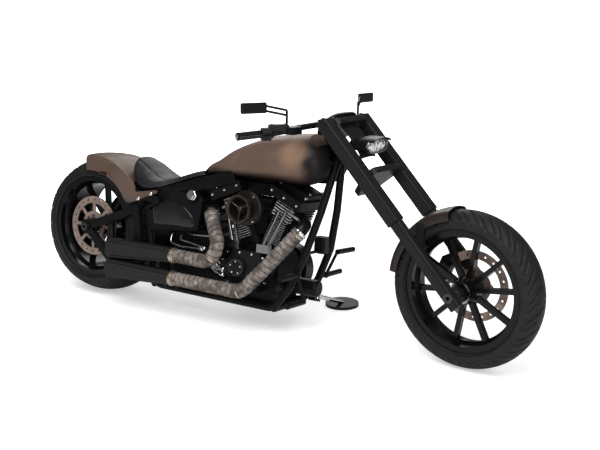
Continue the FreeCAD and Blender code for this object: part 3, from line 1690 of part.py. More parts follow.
def rear_lights():
    """A small round lamp under each lower edge of the rear fender."""
    fender_shape = upright(rear_fender)
    shapes = []
    for side in SIDES:
        y = side * (size.rear_fender_width / 2 + size.fender_wall)
        shapes.append(bar(spot(size.led_x, y, size.led_z),
                          spot(size.led_x + size.led_length, y, size.led_z), size.led_radius))
    return solid(Part.makeCompound(shapes).cut(fender_shape), "rear_lights", "frame")


rear_lights()


# Fork
def fork_leg(label, side):
    """A slab leg that steps down to a narrower slider, which the axle goes through."""
    body = new_body(label)
    y = side * size.leg_spacing / 2
    low = float(axle_in_head.z - size.slider_below)
    slab = rounded(size.leg_ahead, y, size.leg_depth, size.leg_width, size.leg_corner)
    pad(body, "XY_Plane", [slab], size.leg_step + size.leg_top, -size.leg_step)
    slider = rounded(size.leg_ahead, y, size.slider_depth, size.slider_width, size.slider_corner)
    pad(body, "XY_Plane", [slider], -low - float(size.leg_step), low)
    hole = [(axle_in_head.x, axle_in_head.z, size.axle_radius + size.seat_gap)]
    pocket(body, "XZ_Plane", hole, size.leg_width * 2, -y)
    front = size.leg_ahead + size.leg_depth / 2 + size.overrun
    rear = size.leg_ahead - size.leg_depth / 2
    top = size.leg_top + size.overrun
    pocket(body, "XZ_Plane", [[(front, size.leg_top - size.leg_slope), (front, top), (rear, top),
                               (rear, size.leg_top)]], size.leg_width * 2, -y)
    return keep(body, label, "head")


def tree(label, low, waist):
    """A yoke plate between the legs, flush with their fronts and bolted to their inner faces."""
    body = new_body(label)
    back = size.leg_ahead - size.leg_depth / 2
    front = size.leg_ahead + size.leg_depth / 2
    wide = leg_inner - size.seat_gap
    pad(body, "XY_Plane", [[
        (-waist, -waist),
        (back, -wide),
        (front, -wide),
        (front + size.tree_nose, size.tree_nose - wide),
        (front + size.tree_nose, wide - size.tree_nose),
        (front, wide),
        (back, wide),
        (-waist, waist),
    ]], size.tree_thickness, low)
    return body


def lower_tree():
    """The lower yoke with the steering stem that turns in the neck."""
    body = tree("lower_tree", -size.lower_tree_drop, size.tree_waist)
    rise = size.lower_tree_drop + size.upper_tree_rise + size.tree_thickness
    pad(body, "XY_Plane", [(0, 0, size.stem_radius)], rise, -size.lower_tree_drop)
    return keep(body, "lower_tree", "head")


def upper_tree():
    """The upper yoke, with a rounded hood between the legs and the stem's nut."""
    body = tree("upper_tree", size.upper_tree_rise + 0, size.yoke_waist)
    top = size.upper_tree_rise + size.tree_thickness
    rise = top + size.dome_height
    corner = size.dome_corner
    pad(body, "XZ_Plane", [[
        (size.dome_rear, top - corner / 4),
        (size.dome_front, top - corner / 4),
        (size.dome_front, top + corner / 2),
        (size.dome_front - corner, rise, -corner / 4),
        (size.dome_rear + corner, rise, -corner / 8),
        (size.dome_rear, rise - corner, -corner / 4),
    ]], (leg_inner - size.seat_gap) * 2, middle=True)
    pocket(body, "XY_Plane", [(0, 0, size.stem_radius + size.seat_gap)],
           (size.tree_thickness + size.dome_height) * 2, size.upper_tree_rise + 0)
    return keep(body, "upper_tree", "head")


fork_leg("fork_leg_right", -1)
fork_leg("fork_leg_left", 1)
lower_tree_piece = lower_tree()
upper_tree_piece = upper_tree()

# Headlight. Each row is shares of (length, half width, top, bottom, middle height).
LAMP_SHARES = [
    (0.0, 0.30, 0.70, 0.30, 0.50),
    (0.10, 0.52, 0.84, 0.16, 0.50),
    (0.45, 0.84, 0.97, 0.05, 0.52),
    (0.85, 0.98, 1.02, 0.00, 0.50),
    (1.0, 1.0, 1.0, 0.0, 0.50),
]
LENS_SHARES = [
    (0.0, 0.94, 0.94, 0.06, 0.50),
    (0.55, 0.78, 0.82, 0.18, 0.50),
    (1.0, 0.36, 0.62, 0.38, 0.50),
]


def headlight():
    """The lamp's shell on its arm from the upper yoke, and the lens before it."""
    front = head.x + size.lamp_ahead
    base = head.z + size.lamp_rise - size.lamp_height / 2
    shell = hull(LAMP_SHARES, front - size.lamp_depth, front, base,
                 size.lamp_height, size.lamp_width / 2, size.tank_power)
    top = spot(front - size.lamp_depth / 2, 0, head.z + size.lamp_rise)
    arm = bar(top, HEAD.multVec(spot(size.leg_ahead, 0, size.upper_tree_rise
                                     + size.tree_thickness / 2)), size.lamp_arm_radius)
    yoke = upright(upper_tree_piece, "fork")
    solid(join([shell, arm]).cut(yoke), "headlight_shell", "fork")
    lens = hull(LENS_SHARES, front + size.seat_gap, front + size.lens_depth, base,
                size.lamp_height, size.lamp_width / 2, size.tank_power)
    solid(lens, "headlight_lens", "fork")


headlight()


# Handlebar. Its points are for the right side, and the left side mirrors them.
MIRROR_EDGE_SHARE = 0.45


def bar_points():
    """The bar's points from its middle to the right-hand end."""
    return [
        behind_head(size.bar_mid_behind, -size.bar_mid_half, size.bar_mid_rise),
        behind_head(size.perch_behind, -size.perch_half, size.perch_rise),
        behind_head(size.grip_behind, -size.grip_half, size.grip_rise),
        behind_head(size.bar_end_behind, -size.bar_end_half, size.bar_end_rise),
    ]


def mirrored(shape):
    """The same shape on the left."""
    return shape.mirror(ORIGIN, Y)


def handlebar():
    """The swept bar in its two risers on the upper yoke."""
    right = bar_points()
    left = [Vector(point.x, -point.y, point.z) for point in right]
    shapes = [tube(right[::-1] + left, size.bar_radius, size.bar_bend)]
    yoke_top = size.upper_tree_rise + size.tree_thickness
    for side in SIDES:
        seat_point = HEAD.multVec(spot(size.bar_ahead, side * size.riser_spread,
                                       yoke_top + size.seat_gap))
        clamp = behind_head(size.bar_mid_behind, side * size.riser_spread, size.bar_mid_rise)
        shapes.append(bar(seat_point, clamp, size.riser_radius))
        across = Y * float(size.riser_radius)
        shapes.append(bar(clamp - across, clamp + across, size.riser_radius + size.fender_wall))
    yoke = upright(upper_tree_piece, "fork")
    return solid(join(shapes).cut(yoke), "handlebar", "fork")


handlebar_piece = handlebar()
grip_start, bar_end = bar_points()[2:]
grip_way = (bar_end - grip_start).normalize()
grip_ahead = Vector(-grip_way.y, grip_way.x, 0).normalize()


def grips():
    """The two rubber grips."""
    start = bar_end - grip_way * float(size.grip_length)
    sleeve = bar(start, bar_end + grip_way * float(size.grip_radius / 4), size.grip_radius)
    core = bar(start - grip_way * float(size.seat_gap), bar_end + grip_way * float(size.seat_gap),
               size.bar_radius + size.seat_gap)
    right = sleeve.cut(core)
    return solid(Part.makeCompound([right, mirrored(right)]), "grips", "fork")


def controls():
    """On each side, the clamp, its fluid box and the lever ahead of the grip."""
    mid, perch = bar_points()[:2]
    start = bar_end - grip_way * float(size.grip_length + size.seat_gap)
    housing = bar(start - grip_way * float(size.reservoir_height), start,
                  size.grip_radius + size.fender_wall)
    ahead = grip_ahead * float(size.lever_ahead)
    pivot = grip_start + ahead * HALF
    outer = bar_end + ahead
    lever = tube([pivot, grip_start + ahead + grip_way * float(size.lever_ahead / 2), outer],
                 size.lever_radius, size.bar_bend)
    low = perch + X * float(size.bar_radius)
    box = centred(low + X * float(size.reservoir_width / 2) - Z * float(size.reservoir_height / 2),
                  size.reservoir_width, size.reservoir_length, size.reservoir_height)
    knuckle = bar(grip_start - grip_way * float(size.bar_radius), pivot, size.lever_radius * 2)
    link = bar(perch + X * float(size.reservoir_width / 2), pivot, size.lever_radius * 2)
    made = join([housing, lever, box, knuckle, link])
    right = made.cut(upright(handlebar_piece, "fork"))
    right = max(right.Solids, key=lambda item: item.Volume)
    return solid(Part.makeCompound([right, mirrored(right)]), "hand_controls", "fork")


def mirror(sweep_angle):
    """A mirror on the right: a stem on the bar, two thin arms and a narrow flat head."""
    perch = bar_points()[1]
    stem_top = perch + Z * float(size.mirror_stem_rise)
    elbow = stem_top + spot(-size.mirror_arm_behind, -size.mirror_arm_out, size.mirror_arm_rise)
    way = turn(Z, -sweep_angle).multVec(-Y)
    head_box = block(spot(0, -size.mirror_thickness / 2, -size.mirror_height / 2),
                     spot(size.mirror_length, size.mirror_thickness / 2, size.mirror_height / 2))
    head_box = head_box.makeFillet(float(size.mirror_thickness * MIRROR_EDGE_SHARE), head_box.Edges)
    head_box.Placement = Placement(elbow, Rotation(X, way))
    rise = Z * float(size.mirror_arm_radius * 2)
    arms = [bar(stem_top + rise * sign, elbow + rise * sign + way * float(size.mirror_thickness),
                size.mirror_arm_radius) for sign in SIDES]
    stem = bar(perch + Z * float(size.bar_radius + size.seat_gap), stem_top + rise,
               size.mirror_arm_radius + size.seat_gap)
    return join([head_box, stem] + arms)


def mirrors():
    """The two mirrors, each turned as the rider has set it."""
    right, left = mirror(size.right_mirror_angle), mirror(size.left_mirror_angle)
    return solid(Part.makeCompound([right, mirrored(left)]), "mirrors", "fork")


grips()
controls()
mirrors()


# Brackets
def fender_struts():
    """The flat strut outside each side of the rear fender, from the top of the rear post."""
    near = (size.post_top_x - size.top_rail_mid_x) * STRUT_SHARE
    drop = (size.post_top_z - size.top_rail_mid_z) * STRUT_SHARE
    post = spot(size.top_rail_mid_x + near, 0, size.top_rail_mid_z + drop)
    inner = size.top_rail_mid_half + (size.rail_half - size.top_rail_mid_half) * STRUT_SHARE
    tip = rear_axle + turn(Y, -size.strut_angle).multVec(spot(size.strut_radius, 0, 0))
    skirt = size.rear_fender_width / 2 + size.seat_gap
    shapes = []
    for side in SIDES:
        low, high = sorted((side * skirt, side * (skirt + size.strut_thickness)))
        boss = bar(post + Y * float(side * inner), post + Y * float(side * skirt),
                   size.rail_radius - size.fender_wall)
        shapes.append(join([strap(post, tip, size.strut_depth, low, high), boss]))
    made = Part.makeCompound(shapes)
    for piece in (frame_spine, frame_cradle_piece):
        made = made.cut(upright(piece))
    return solid(made, "fender_struts", "frame")


def front_fender_stays():
    """The plate outside each side of the front fender, and its boss on the fork leg."""
    skirt = size.front_fender_width / 2 + size.seat_gap
    to_leg = HEAD.Rotation.multVec(spot(size.leg_ahead - axle_in_head.x, 0, size.stay_height))
    top = turn(Y, -size.stay_angle).multVec(spot(size.front_fender_skirt + size.stay_depth / 2,
                                                 0, 0))
    shapes = []
    for side in SIDES:
        low, high = sorted((side * skirt, side * (skirt + size.fender_wall)))
        inner = Y * float(side * skirt)
        boss = bar(to_leg + inner, to_leg + Y * float(side * (slider_inner - size.seat_gap)),
                   size.stay_depth / 3)
        shapes.append(join([strap(top, to_leg, size.stay_depth, low, high), boss]))
    return solid(Part.makeCompound(shapes), "fender_stays", "front_wheel")


STRUT_SHARE = 0.6
fender_struts()
front_fender_stays()


# Checks and export
def centre_on_floor():
    """Shifts all pieces so that the whole box's bottom centre is the origin."""
    doc.recompute()
    whole = FreeCAD.BoundBox()
    for piece in pieces:
        whole.add(piece.Shape.optimalBoundingBox(False, False))
    shift = Placement(spot(-whole.Center.x, -whole.Center.y, -whole.ZMin), Rotation())
    for piece in pieces:
        piece.Placement = shift.multiply(piece.Placement)
    doc.recompute()
    return shift


def check_all():
    """Stops where an object has failed or a piece's shape is empty or faulty."""
    for item in doc.Objects:
        if "Invalid" in item.State or "Error" in item.State:
            raise RuntimeError("%s has failed: %s" % (item.Label, item.getStatusString()))
    for piece in pieces:
        if piece.Shape.isNull() or not piece.Shape.isValid():
            raise RuntimeError("%s has no valid shape" % piece.Label)


doc.recompute()
check_all()
SHIFT = centre_on_floor()
check_all()
os.makedirs("parts", exist_ok=True)
for piece in pieces:
    piece.Shape.exportStep(os.path.join("parts", piece.Label + ".step"))
print("%d pieces, shift %s" % (len(pieces), SHIFT.Base))
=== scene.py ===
"""The looks of a long-fork chopper motorcycle that leans on its side stand.

Lengths are in metres. Places are given in frames of the motorcycle itself, which Rig reads
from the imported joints: the bike frame has +X forward, +Y to the rider's left and +Z up, with
its origin on the line that the tyres roll on, below the rear axle. The fork frame is the bike
frame turned with the fork, and the head frame has its Z axis up the steering axis. A wheel
frame has its origin at the middle of its hub and its Y axis along the axle.
"""

from __future__ import annotations

import json
import logging
import math
from dataclasses import dataclass, replace
from enum import Enum
from typing import Iterable, Sequence

import bmesh
import bpy
import numpy as np
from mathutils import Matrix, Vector


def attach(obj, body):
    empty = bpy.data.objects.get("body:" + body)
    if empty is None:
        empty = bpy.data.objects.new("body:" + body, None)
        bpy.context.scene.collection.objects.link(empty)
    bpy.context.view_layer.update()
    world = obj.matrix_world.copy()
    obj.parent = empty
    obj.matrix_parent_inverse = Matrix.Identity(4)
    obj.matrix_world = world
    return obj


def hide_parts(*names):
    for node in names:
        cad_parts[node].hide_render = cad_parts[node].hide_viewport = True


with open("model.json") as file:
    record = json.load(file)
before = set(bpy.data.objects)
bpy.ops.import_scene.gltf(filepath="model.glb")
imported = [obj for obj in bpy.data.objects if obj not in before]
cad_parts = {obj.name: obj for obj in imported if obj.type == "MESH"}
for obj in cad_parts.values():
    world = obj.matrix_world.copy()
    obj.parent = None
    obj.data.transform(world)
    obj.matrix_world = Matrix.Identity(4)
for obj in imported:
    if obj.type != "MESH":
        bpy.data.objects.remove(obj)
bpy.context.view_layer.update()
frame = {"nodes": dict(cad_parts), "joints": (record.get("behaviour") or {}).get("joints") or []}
log = logging.getLogger("chopper")

FULL_TURN = 2 * math.pi
NOISE_LOW, NOISE_HIGH = 0.3, 0.7
NOISE_ROUGHNESS = 0.55
MIX_COLOURS, MIX_RESULT = (6, 7), 2
LEAST_ROUGHNESS = 0.02
COAT_ROUGHNESS = 0.12
BANK_ANGLE = math.radians(23.5)
AHEAD = np.array([1.0, 0.0, 0.0])
LEFT = np.array([0.0, 1.0, 0.0])
RIGHT = np.array([0.0, -1.0, 0.0])
UP = np.array([0.0, 0.0, 1.0])
Array = np.ndarray
Colour = tuple[float, float, float]
Point = tuple[float, float, float]
Pair = tuple[float, float]
Profile = tuple[Pair, ...]
Socket = bpy.types.NodeSocket


class Body(Enum):
    """The moving bodies that a piece can ride on."""

    ROOT = "root"
    REAR_WHEEL = "rear_wheel"
    FORK = "fork"
    FRONT_WHEEL = "front_wheel"


class Slot(Enum):
    """The names of the record's material slots, one carried by each finish."""

    PAINT_BRONZE = "paint_bronze"
    PAINT_BLACK = "paint_black"
    WHEEL_BLACK = "wheel_black"
    TYRE = "tyre"
    ROTOR = "rotor_steel"
    AXLE = "axle_steel"
    ENGINE_BLACK = "engine_black"
    WRAP = "wrap"
    MUFFLER = "muffler_black"
    BELT = "belt"
    LEATHER = "leather"
    GRIP = "grip_rubber"
    PLASTIC = "plastic_black"
    LENS = "lens"
    LAMP_RED = "lamp_red"
    BRAID = "braid"
    CHROME = "chrome"


def unit(vectors: Sequence[float] | Array) -> Array:
    """Scales vectors to length one along their last axis."""
    vectors = np.asarray(vectors, float)
    return vectors / np.linalg.norm(vectors, axis=-1, keepdims=True)


def around(steps: int) -> Array:
    """Evenly spaced angles once round, without the last one that meets the first."""
    return np.arange(steps) / steps * FULL_TURN


def turned(vectors: Array, axis: Array, angle: float) -> Array:
    """Turns vectors about an axis, by the formula of Rodrigues.

    Args:
        vectors: one vector or rows of them.
        axis: the unit axis.
        angle: the turn in radians.

    Returns:
        The turned vectors.
    """
    vectors = np.asarray(vectors, float)
    along = (vectors @ axis)[..., None] * axis
    return (
        vectors * math.cos(angle)
        + np.cross(axis, vectors) * math.sin(angle)
        + along * (1 - math.cos(angle))
    )


@dataclass(frozen=True)
class Place:
    """A frame of the motorcycle: its origin, and its three axes as rows, in the world."""

    origin: Array
    axes: Array

    def world(self, points: Array | Sequence[float]) -> Array:
        """Takes points of this frame to the world."""
        return self.origin + np.asarray(points, float) @ self.axes

    def way(self, vectors: Array | Sequence[float]) -> Array:
        """Takes directions of this frame to the world."""
        return np.asarray(vectors, float) @ self.axes

    def local(self, points: Array | Sequence[float]) -> Array:
        """Takes points of the world to this frame."""
        return (np.asarray(points, float) - self.origin) @ self.axes.T


class Rig:
    """The frames of the motorcycle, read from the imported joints."""

    def __init__(self, joints: list[dict]) -> None:
        """Works out each frame.

        Args:
            joints: the record's joints, with their places and axes.
        """
        by_child = {joint["child"]: joint for joint in joints}
        rear, front = by_child[Body.REAR_WHEEL.value], by_child[Body.FRONT_WHEEL.value]
        steering = by_child[Body.FORK.value]
        left = unit(rear["axis"])
        up = np.cross(AHEAD, left)
        axes = np.array([AHEAD, left, up])
        hub = np.array(rear["pos_m"])
        self.rear_wheel = Place(hub, axes)
        self.bike = Place(hub - up * hub[2] / up[2], axes)
        rise, front_left = unit(steering["axis"]), unit(front["axis"])
        middle = np.array(steering["pos_m"])
        self.head = Place(middle, np.array([np.cross(front_left, rise), front_left, rise]))
        turn = math.atan2(np.cross(left, front_left) @ rise, left @ front_left)
        self.fork = Place(
            middle + turned(self.bike.origin - middle, rise, turn), turned(axes, rise, turn)
        )
        self.front_wheel = Place(np.array(front["pos_m"]), self.fork.axes)


rig = Rig(frame["joints"])


# Finishes
class Graph:
    """The nodes of a material or a world, with short calls to add them and to set sockets."""

    def __init__(self, owner: bpy.types.Material | bpy.types.World) -> None:
        """Starts from the one shader that a new material or world has.

        Args:
            owner: the material or world.
        """
        self.owner = owner
        owner.use_nodes = True
        self.nodes, self.links = owner.node_tree.nodes, owner.node_tree.links
        self.shader = self.nodes.get("Principled BSDF") or self.nodes["Background"]

    def add(self, kind: str, inputs: dict | None = None, **settings: object) -> bpy.types.Node:
        """Adds a node.

        Args:
            kind: the node's type, without its ShaderNode prefix.
            inputs: values or sockets by input name or number.
            settings: the node's own properties.

        Returns:
            The node.
        """
        node = self.nodes.new("ShaderNode" + kind)
        for key, value in settings.items():
            setattr(node, key, value)
        for key, value in (inputs or {}).items():
            self.put(node, key, value)
        return node

    def put(self, node: bpy.types.Node, key: str | int, value: object) -> None:
        """Links a socket to an input, or sets the input to a value."""
        if isinstance(value, Socket):
            self.links.new(value, node.inputs[key])
        else:
            node.inputs[key].default_value = value

    def math(self, operation: str, *terms: object) -> Socket:
        """The result of a math node on sockets or numbers."""
        node = self.add("Math", dict(enumerate(terms)), operation=operation)
        return node.outputs[0]

    def vector(self, operation: str, *terms: object, output: int | str = 0) -> Socket:
        """The result of a vector math node on sockets or vectors, at one of its outputs."""
        node = self.add("VectorMath", dict(enumerate(terms)), operation=operation)
        return node.outputs[output]

    def parts(self, vector: Socket) -> bpy.types.NodeOutputs:
        """The three coordinates of a vector."""
        return self.add("SeparateXYZ", {0: vector}).outputs

    def position(self) -> Socket:
        """The point on the piece, in object coordinates."""
        return self.add("TexCoord").outputs["Object"]

    def noise(self, scale: float, detail: float = 3.0, vector: Socket | None = None) -> Socket:
        """Noise from 0 to 1, with a scale in cells a metre."""
        inputs = {"Vector": vector or self.position(), "Scale": scale, "Detail": detail,
                  "Roughness": NOISE_ROUGHNESS}
        return self.add("TexNoise", inputs).outputs["Fac"]

    def remap(self, value: Socket, low: float, high: float, to_low: object = 0.0,
              to_high: object = 1.0, smooth: bool = False) -> Socket:
        """Maps a range of a value to another range, clamped."""
        kind = "SMOOTHSTEP" if smooth else "LINEAR"
        inputs = {"Value": value, "From Min": low, "From Max": high, "To Min": to_low,
                  "To Max": to_high}
        return self.add("MapRange", inputs, interpolation_type=kind).outputs["Result"]

    def mix(self, factor: object, first: object, second: object) -> Socket:
        """Mixes two colours, by number of socket, since each kind of data has its own A and B."""
        node = self.add("Mix", data_type="RGBA")
        self.put(node, "Factor", factor)
        for socket, colour in zip(MIX_COLOURS, (first, second)):
            flat = not isinstance(colour, Socket)
            self.put(node, socket, (*colour, 1.0) if flat else colour)
        return node.outputs[MIX_RESULT]

    def bump(self, height: Socket, depth: float) -> Socket:
        """A bump of a depth in metres."""
        inputs = {"Height": height, "Strength": 1.0, "Distance": depth}
        return self.add("Bump", inputs).outputs["Normal"]

    def along(self, place: Place, axis: int) -> Socket:
        """The coordinate of the point along one axis of a frame of the motorcycle."""
        start = self.vector("SUBTRACT", self.position(), tuple(place.origin))
        return self.vector("DOT_PRODUCT", start, tuple(place.axes[axis]), output="Value")

    def set(self, **values: object) -> None:
        """Sets sockets of the shader, with underscores for the spaces in their names."""
        for key, value in values.items():
            self.put(self.shader, key.replace("_", " "), value)


@dataclass(frozen=True)
class Finish:
    """A solid finish, with mottled colour, uneven gloss and a fine grain."""

    name: str
    slot: Slot
    colour: Colour
    roughness: float = 0.4
    metallic: float = 0.0
    specular: float = 0.5
    coat: float = 0.0
    mottle: float = 0.12
    mottle_scale: float = 14.0
    grain_scale: float = 900.0
    grain_depth: float = 0.00002
    gloss_spread: float = 0.06
    gloss_rate: float = 3.0

    def base(self, graph: Graph) -> Socket:
        """The colour: the finish's own, mottled by a soft noise."""
        dark = tuple(channel * (1 - self.mottle) for channel in self.colour)
        light = tuple(min(1.0, channel * (1 + self.mottle)) for channel in self.colour)
        spots = graph.remap(graph.noise(self.mottle_scale), NOISE_LOW, NOISE_HIGH)
        return graph.mix(spots, dark, light)

    def relief(self, graph: Graph) -> Socket:
        """The bump of the grain."""
        return graph.bump(graph.noise(self.grain_scale, detail=2.0), self.grain_depth)

    def gloss(self, graph: Graph) -> Socket:
        """The roughness, a little uneven."""
        low = max(LEAST_ROUGHNESS, self.roughness - self.gloss_spread)
        noise = graph.noise(self.mottle_scale * self.gloss_rate)
        return graph.remap(noise, NOISE_LOW, NOISE_HIGH, low, self.roughness + self.gloss_spread)

    def shader_values(self) -> dict[str, object]:
        """The sockets of the shader that are the same all over."""
        return {"Metallic": self.metallic, "Specular_IOR_Level": self.specular,
                "Coat_Weight": self.coat, "Coat_Roughness": COAT_ROUGHNESS}

    def make(self) -> bpy.types.Material:
        """Builds the material.

        Returns:
            The material.
        """
        graph = Graph(bpy.data.materials.new(self.name))
        graph.set(Base_Color=self.base(graph), Roughness=self.gloss(graph),
                  Normal=self.relief(graph), **self.shader_values())
        return graph.owner


@dataclass(frozen=True)
class Fade:
    """A soft dark edge past a place on a frame's axis: airbrushed at the front, painted shade low
    down.
    """

    place: Place
    axis: int
    start: float
    end: float
    waver: float = 0.03
    waver_scale: float = 9.0
    waver_range: Pair = (0.25, 0.75)

    def mask(self, graph: Graph) -> Socket:
        """From 0 before the start to 1 past the end, with a wavering edge."""
        shift = graph.remap(graph.noise(self.waver_scale, detail=1.5), *self.waver_range,
                            -self.waver, self.waver)
        value = graph.math("ADD", graph.along(self.place, self.axis), shift)
        rising = self.end > self.start
        low, high = (self.start, self.end) if rising else (self.end, self.start)
        ends = (0.0, 1.0) if rising else (1.0, 0.0)
        return graph.remap(value, low, high, *ends, smooth=True)


@dataclass(frozen=True)
class AirbrushedPaint(Finish):
    """A satin paint with soft dark fades, random pale clouds, a painted highlight and a faint metal
    flake.
    """

    dark: Colour = (0.012, 0.010, 0.010)
    # glow tints both the random pale clouds and the painted highlight
    glow: Colour = (0.26, 0.17, 0.115)
    fades: tuple[Fade, ...] = ()
    strength: float = 0.93
    highlight_at: Point | None = None
    highlight_reach: float = 0.120
    highlight_strength: float = 0.72
    cloud_scale: float = 7.0
    cloud_range: Pair = (0.52, 0.72)
    cloud_strength: float = 0.10

    def base(self, graph: Graph) -> Socket:
        """The paint, darkened by each fade and lifted by pale clouds and by one painted highlight.
        """
        colour = super().base(graph)
        cloud = graph.remap(graph.noise(self.cloud_scale, detail=0.5), *self.cloud_range, 0.0,
                            self.cloud_strength, smooth=True)
        colour = graph.mix(cloud, colour, self.glow)
        # Painted highlight: the colour lifts towards glow round one point, standing in for light on
        # the paint
        if self.highlight_at is not None:
            centre = tuple(rig.bike.world(self.highlight_at))
            reach = graph.vector("DISTANCE", graph.position(), centre, output="Value")
            highlight_share = graph.remap(reach, self.highlight_reach, 0.0, 0.0, self.highlight_strength, smooth=True)
            colour = graph.mix(highlight_share, colour, self.glow)
        for fade in self.fades:
            factor = graph.math("MULTIPLY", fade.mask(graph), self.strength)
            colour = graph.mix(factor, colour, self.dark)
        return colour


@dataclass(frozen=True)
class Brushed(Finish):
    """A metal with fine lines along one axis."""

    stretch: Point = (1.0, 60.0, 60.0)
    scratch_scale: float = 20.0

    def relief(self, graph: Graph) -> Socket:
        """The bump of long thin scratches."""
        inputs = {"Vector": graph.position(), "Scale": self.stretch}
        vector = graph.add("Mapping", inputs).outputs[0]
        lines = graph.noise(self.scratch_scale, detail=2.0, vector=vector)
        return graph.bump(lines, self.grain_depth)


@dataclass(frozen=True)
class LampGlass(Finish):
    """Clear glass over a faceted reflector, whose bright look is a painted reflection in its
    colour.
    """

    facet_scale: float = 95.0
    facet_depth: float = 0.003
    shade_range: Pair = (0.45, 0.75)
    shade: Colour = (0.22, 0.22, 0.24)

    def cells(self, graph: Graph) -> bpy.types.Node:
        """The facets."""
        return graph.add("TexVoronoi", {"Vector": graph.position(), "Scale": self.facet_scale})

    def base(self, graph: Graph) -> Socket:
        """Facets painted bright as reflections, some of them in painted shade."""
        parts = graph.parts(self.cells(graph).outputs["Color"])
        return graph.mix(graph.remap(parts[0], *self.shade_range), self.colour, self.shade)

    def relief(self, graph: Graph) -> Socket:
        """The slope of each facet."""
        return graph.bump(self.cells(graph).outputs["Distance"], self.facet_depth)


@dataclass(frozen=True)
class WoundCloth(Finish):
    """Woven tape in lapped turns, with painted shade at each lap's edge and stains along its
    length.
    """

    turns: float = 1 / 0.26
    stain_and_lap_shade: Colour = (0.030, 0.024, 0.021)
    pale: Colour = (0.255, 0.222, 0.200)
    worn_scale: float = 55.0
    worn_range: Pair = (0.35, 0.65)
    blot_scale: float = 16.0
    blot_range: Pair = (0.42, 0.62)
    blot_strength: float = 0.75
    lap_shade_width: float = 0.30
    lap_shade_strength: float = 0.85
    weave_scale: float = 1100.0

    def phase(self, graph: Graph) -> Socket:
        """How far across the tape the point is, from 0 to 1."""
        parts = graph.parts(graph.add("TexCoord").outputs["UV"])
        turn = graph.math("MULTIPLY", parts[0], self.turns)
        return graph.math("FRACT", graph.math("SUBTRACT", turn, parts[1]))

    def base(self, graph: Graph) -> Socket:
        """Grey brown cloth, pale where it is worn, dark by stains and by painted shade at the laps.
        """
        phase = self.phase(graph)
        worn = graph.remap(graph.noise(self.worn_scale), *self.worn_range)
        colour = graph.mix(worn, self.colour, self.pale)
        blot = graph.remap(graph.noise(self.blot_scale, detail=2.0), *self.blot_range, 0.0,
                           self.blot_strength)
        colour = graph.mix(blot, colour, self.stain_and_lap_shade)
        # Painted shade: each lap's edge is darkened to the stain colour, as in the crease under the
        # next turn
        lap = graph.remap(phase, 0.0, self.lap_shade_width, self.lap_shade_strength, 0.0, smooth=True)
        return graph.mix(lap, colour, self.stain_and_lap_shade)

    def relief(self, graph: Graph) -> Socket:
        """The weave of the tape."""
        return graph.bump(graph.noise(self.weave_scale, detail=2.0), self.grain_depth)


@dataclass(frozen=True)
class FinEdges(Finish):
    """Black cooling fins with bright machined edges on the sides of the stack."""

    bright: Colour = (0.42, 0.42, 0.41)
    reach: float = 0.066
    edge_width: float = 0.002
    lean: float = BANK_ANGLE
    flat_range: Pair = (0.15, 0.25)
    worn_scale: float = 60.0
    worn_range: tuple[float, float, float, float] = (0.3, 0.6, 0.35, 1.0)

    def base(self, graph: Graph) -> Socket:
        """The black, with the bright edge where the surface faces out from the stack."""
        return graph.mix(self.edge(graph), super().base(graph), self.bright)

    def edge(self, graph: Graph) -> Socket:
        """One where the surface faces away from the cylinder's axis, out past the reach."""
        axis = rig.bike.way(turned(UP, LEFT, self.lean))
        normal = graph.add("NewGeometry").outputs["True Normal"]
        facing = graph.vector("DOT_PRODUCT", normal, tuple(axis), output="Value")
        flat = graph.math("ABSOLUTE", facing)
        side = graph.math("ABSOLUTE", graph.along(rig.bike, 1))
        out = graph.remap(side, self.reach, self.reach + self.edge_width)
        worn = graph.remap(graph.noise(self.worn_scale), *self.worn_range)
        level = graph.math("MULTIPLY", graph.remap(flat, *self.flat_range, 1.0, 0.0), out)
        return graph.math("MULTIPLY", level, worn)


# Meshes
SHARP = 35.0
WELD, CLOSE_WELD = 1e-5, 1e-6


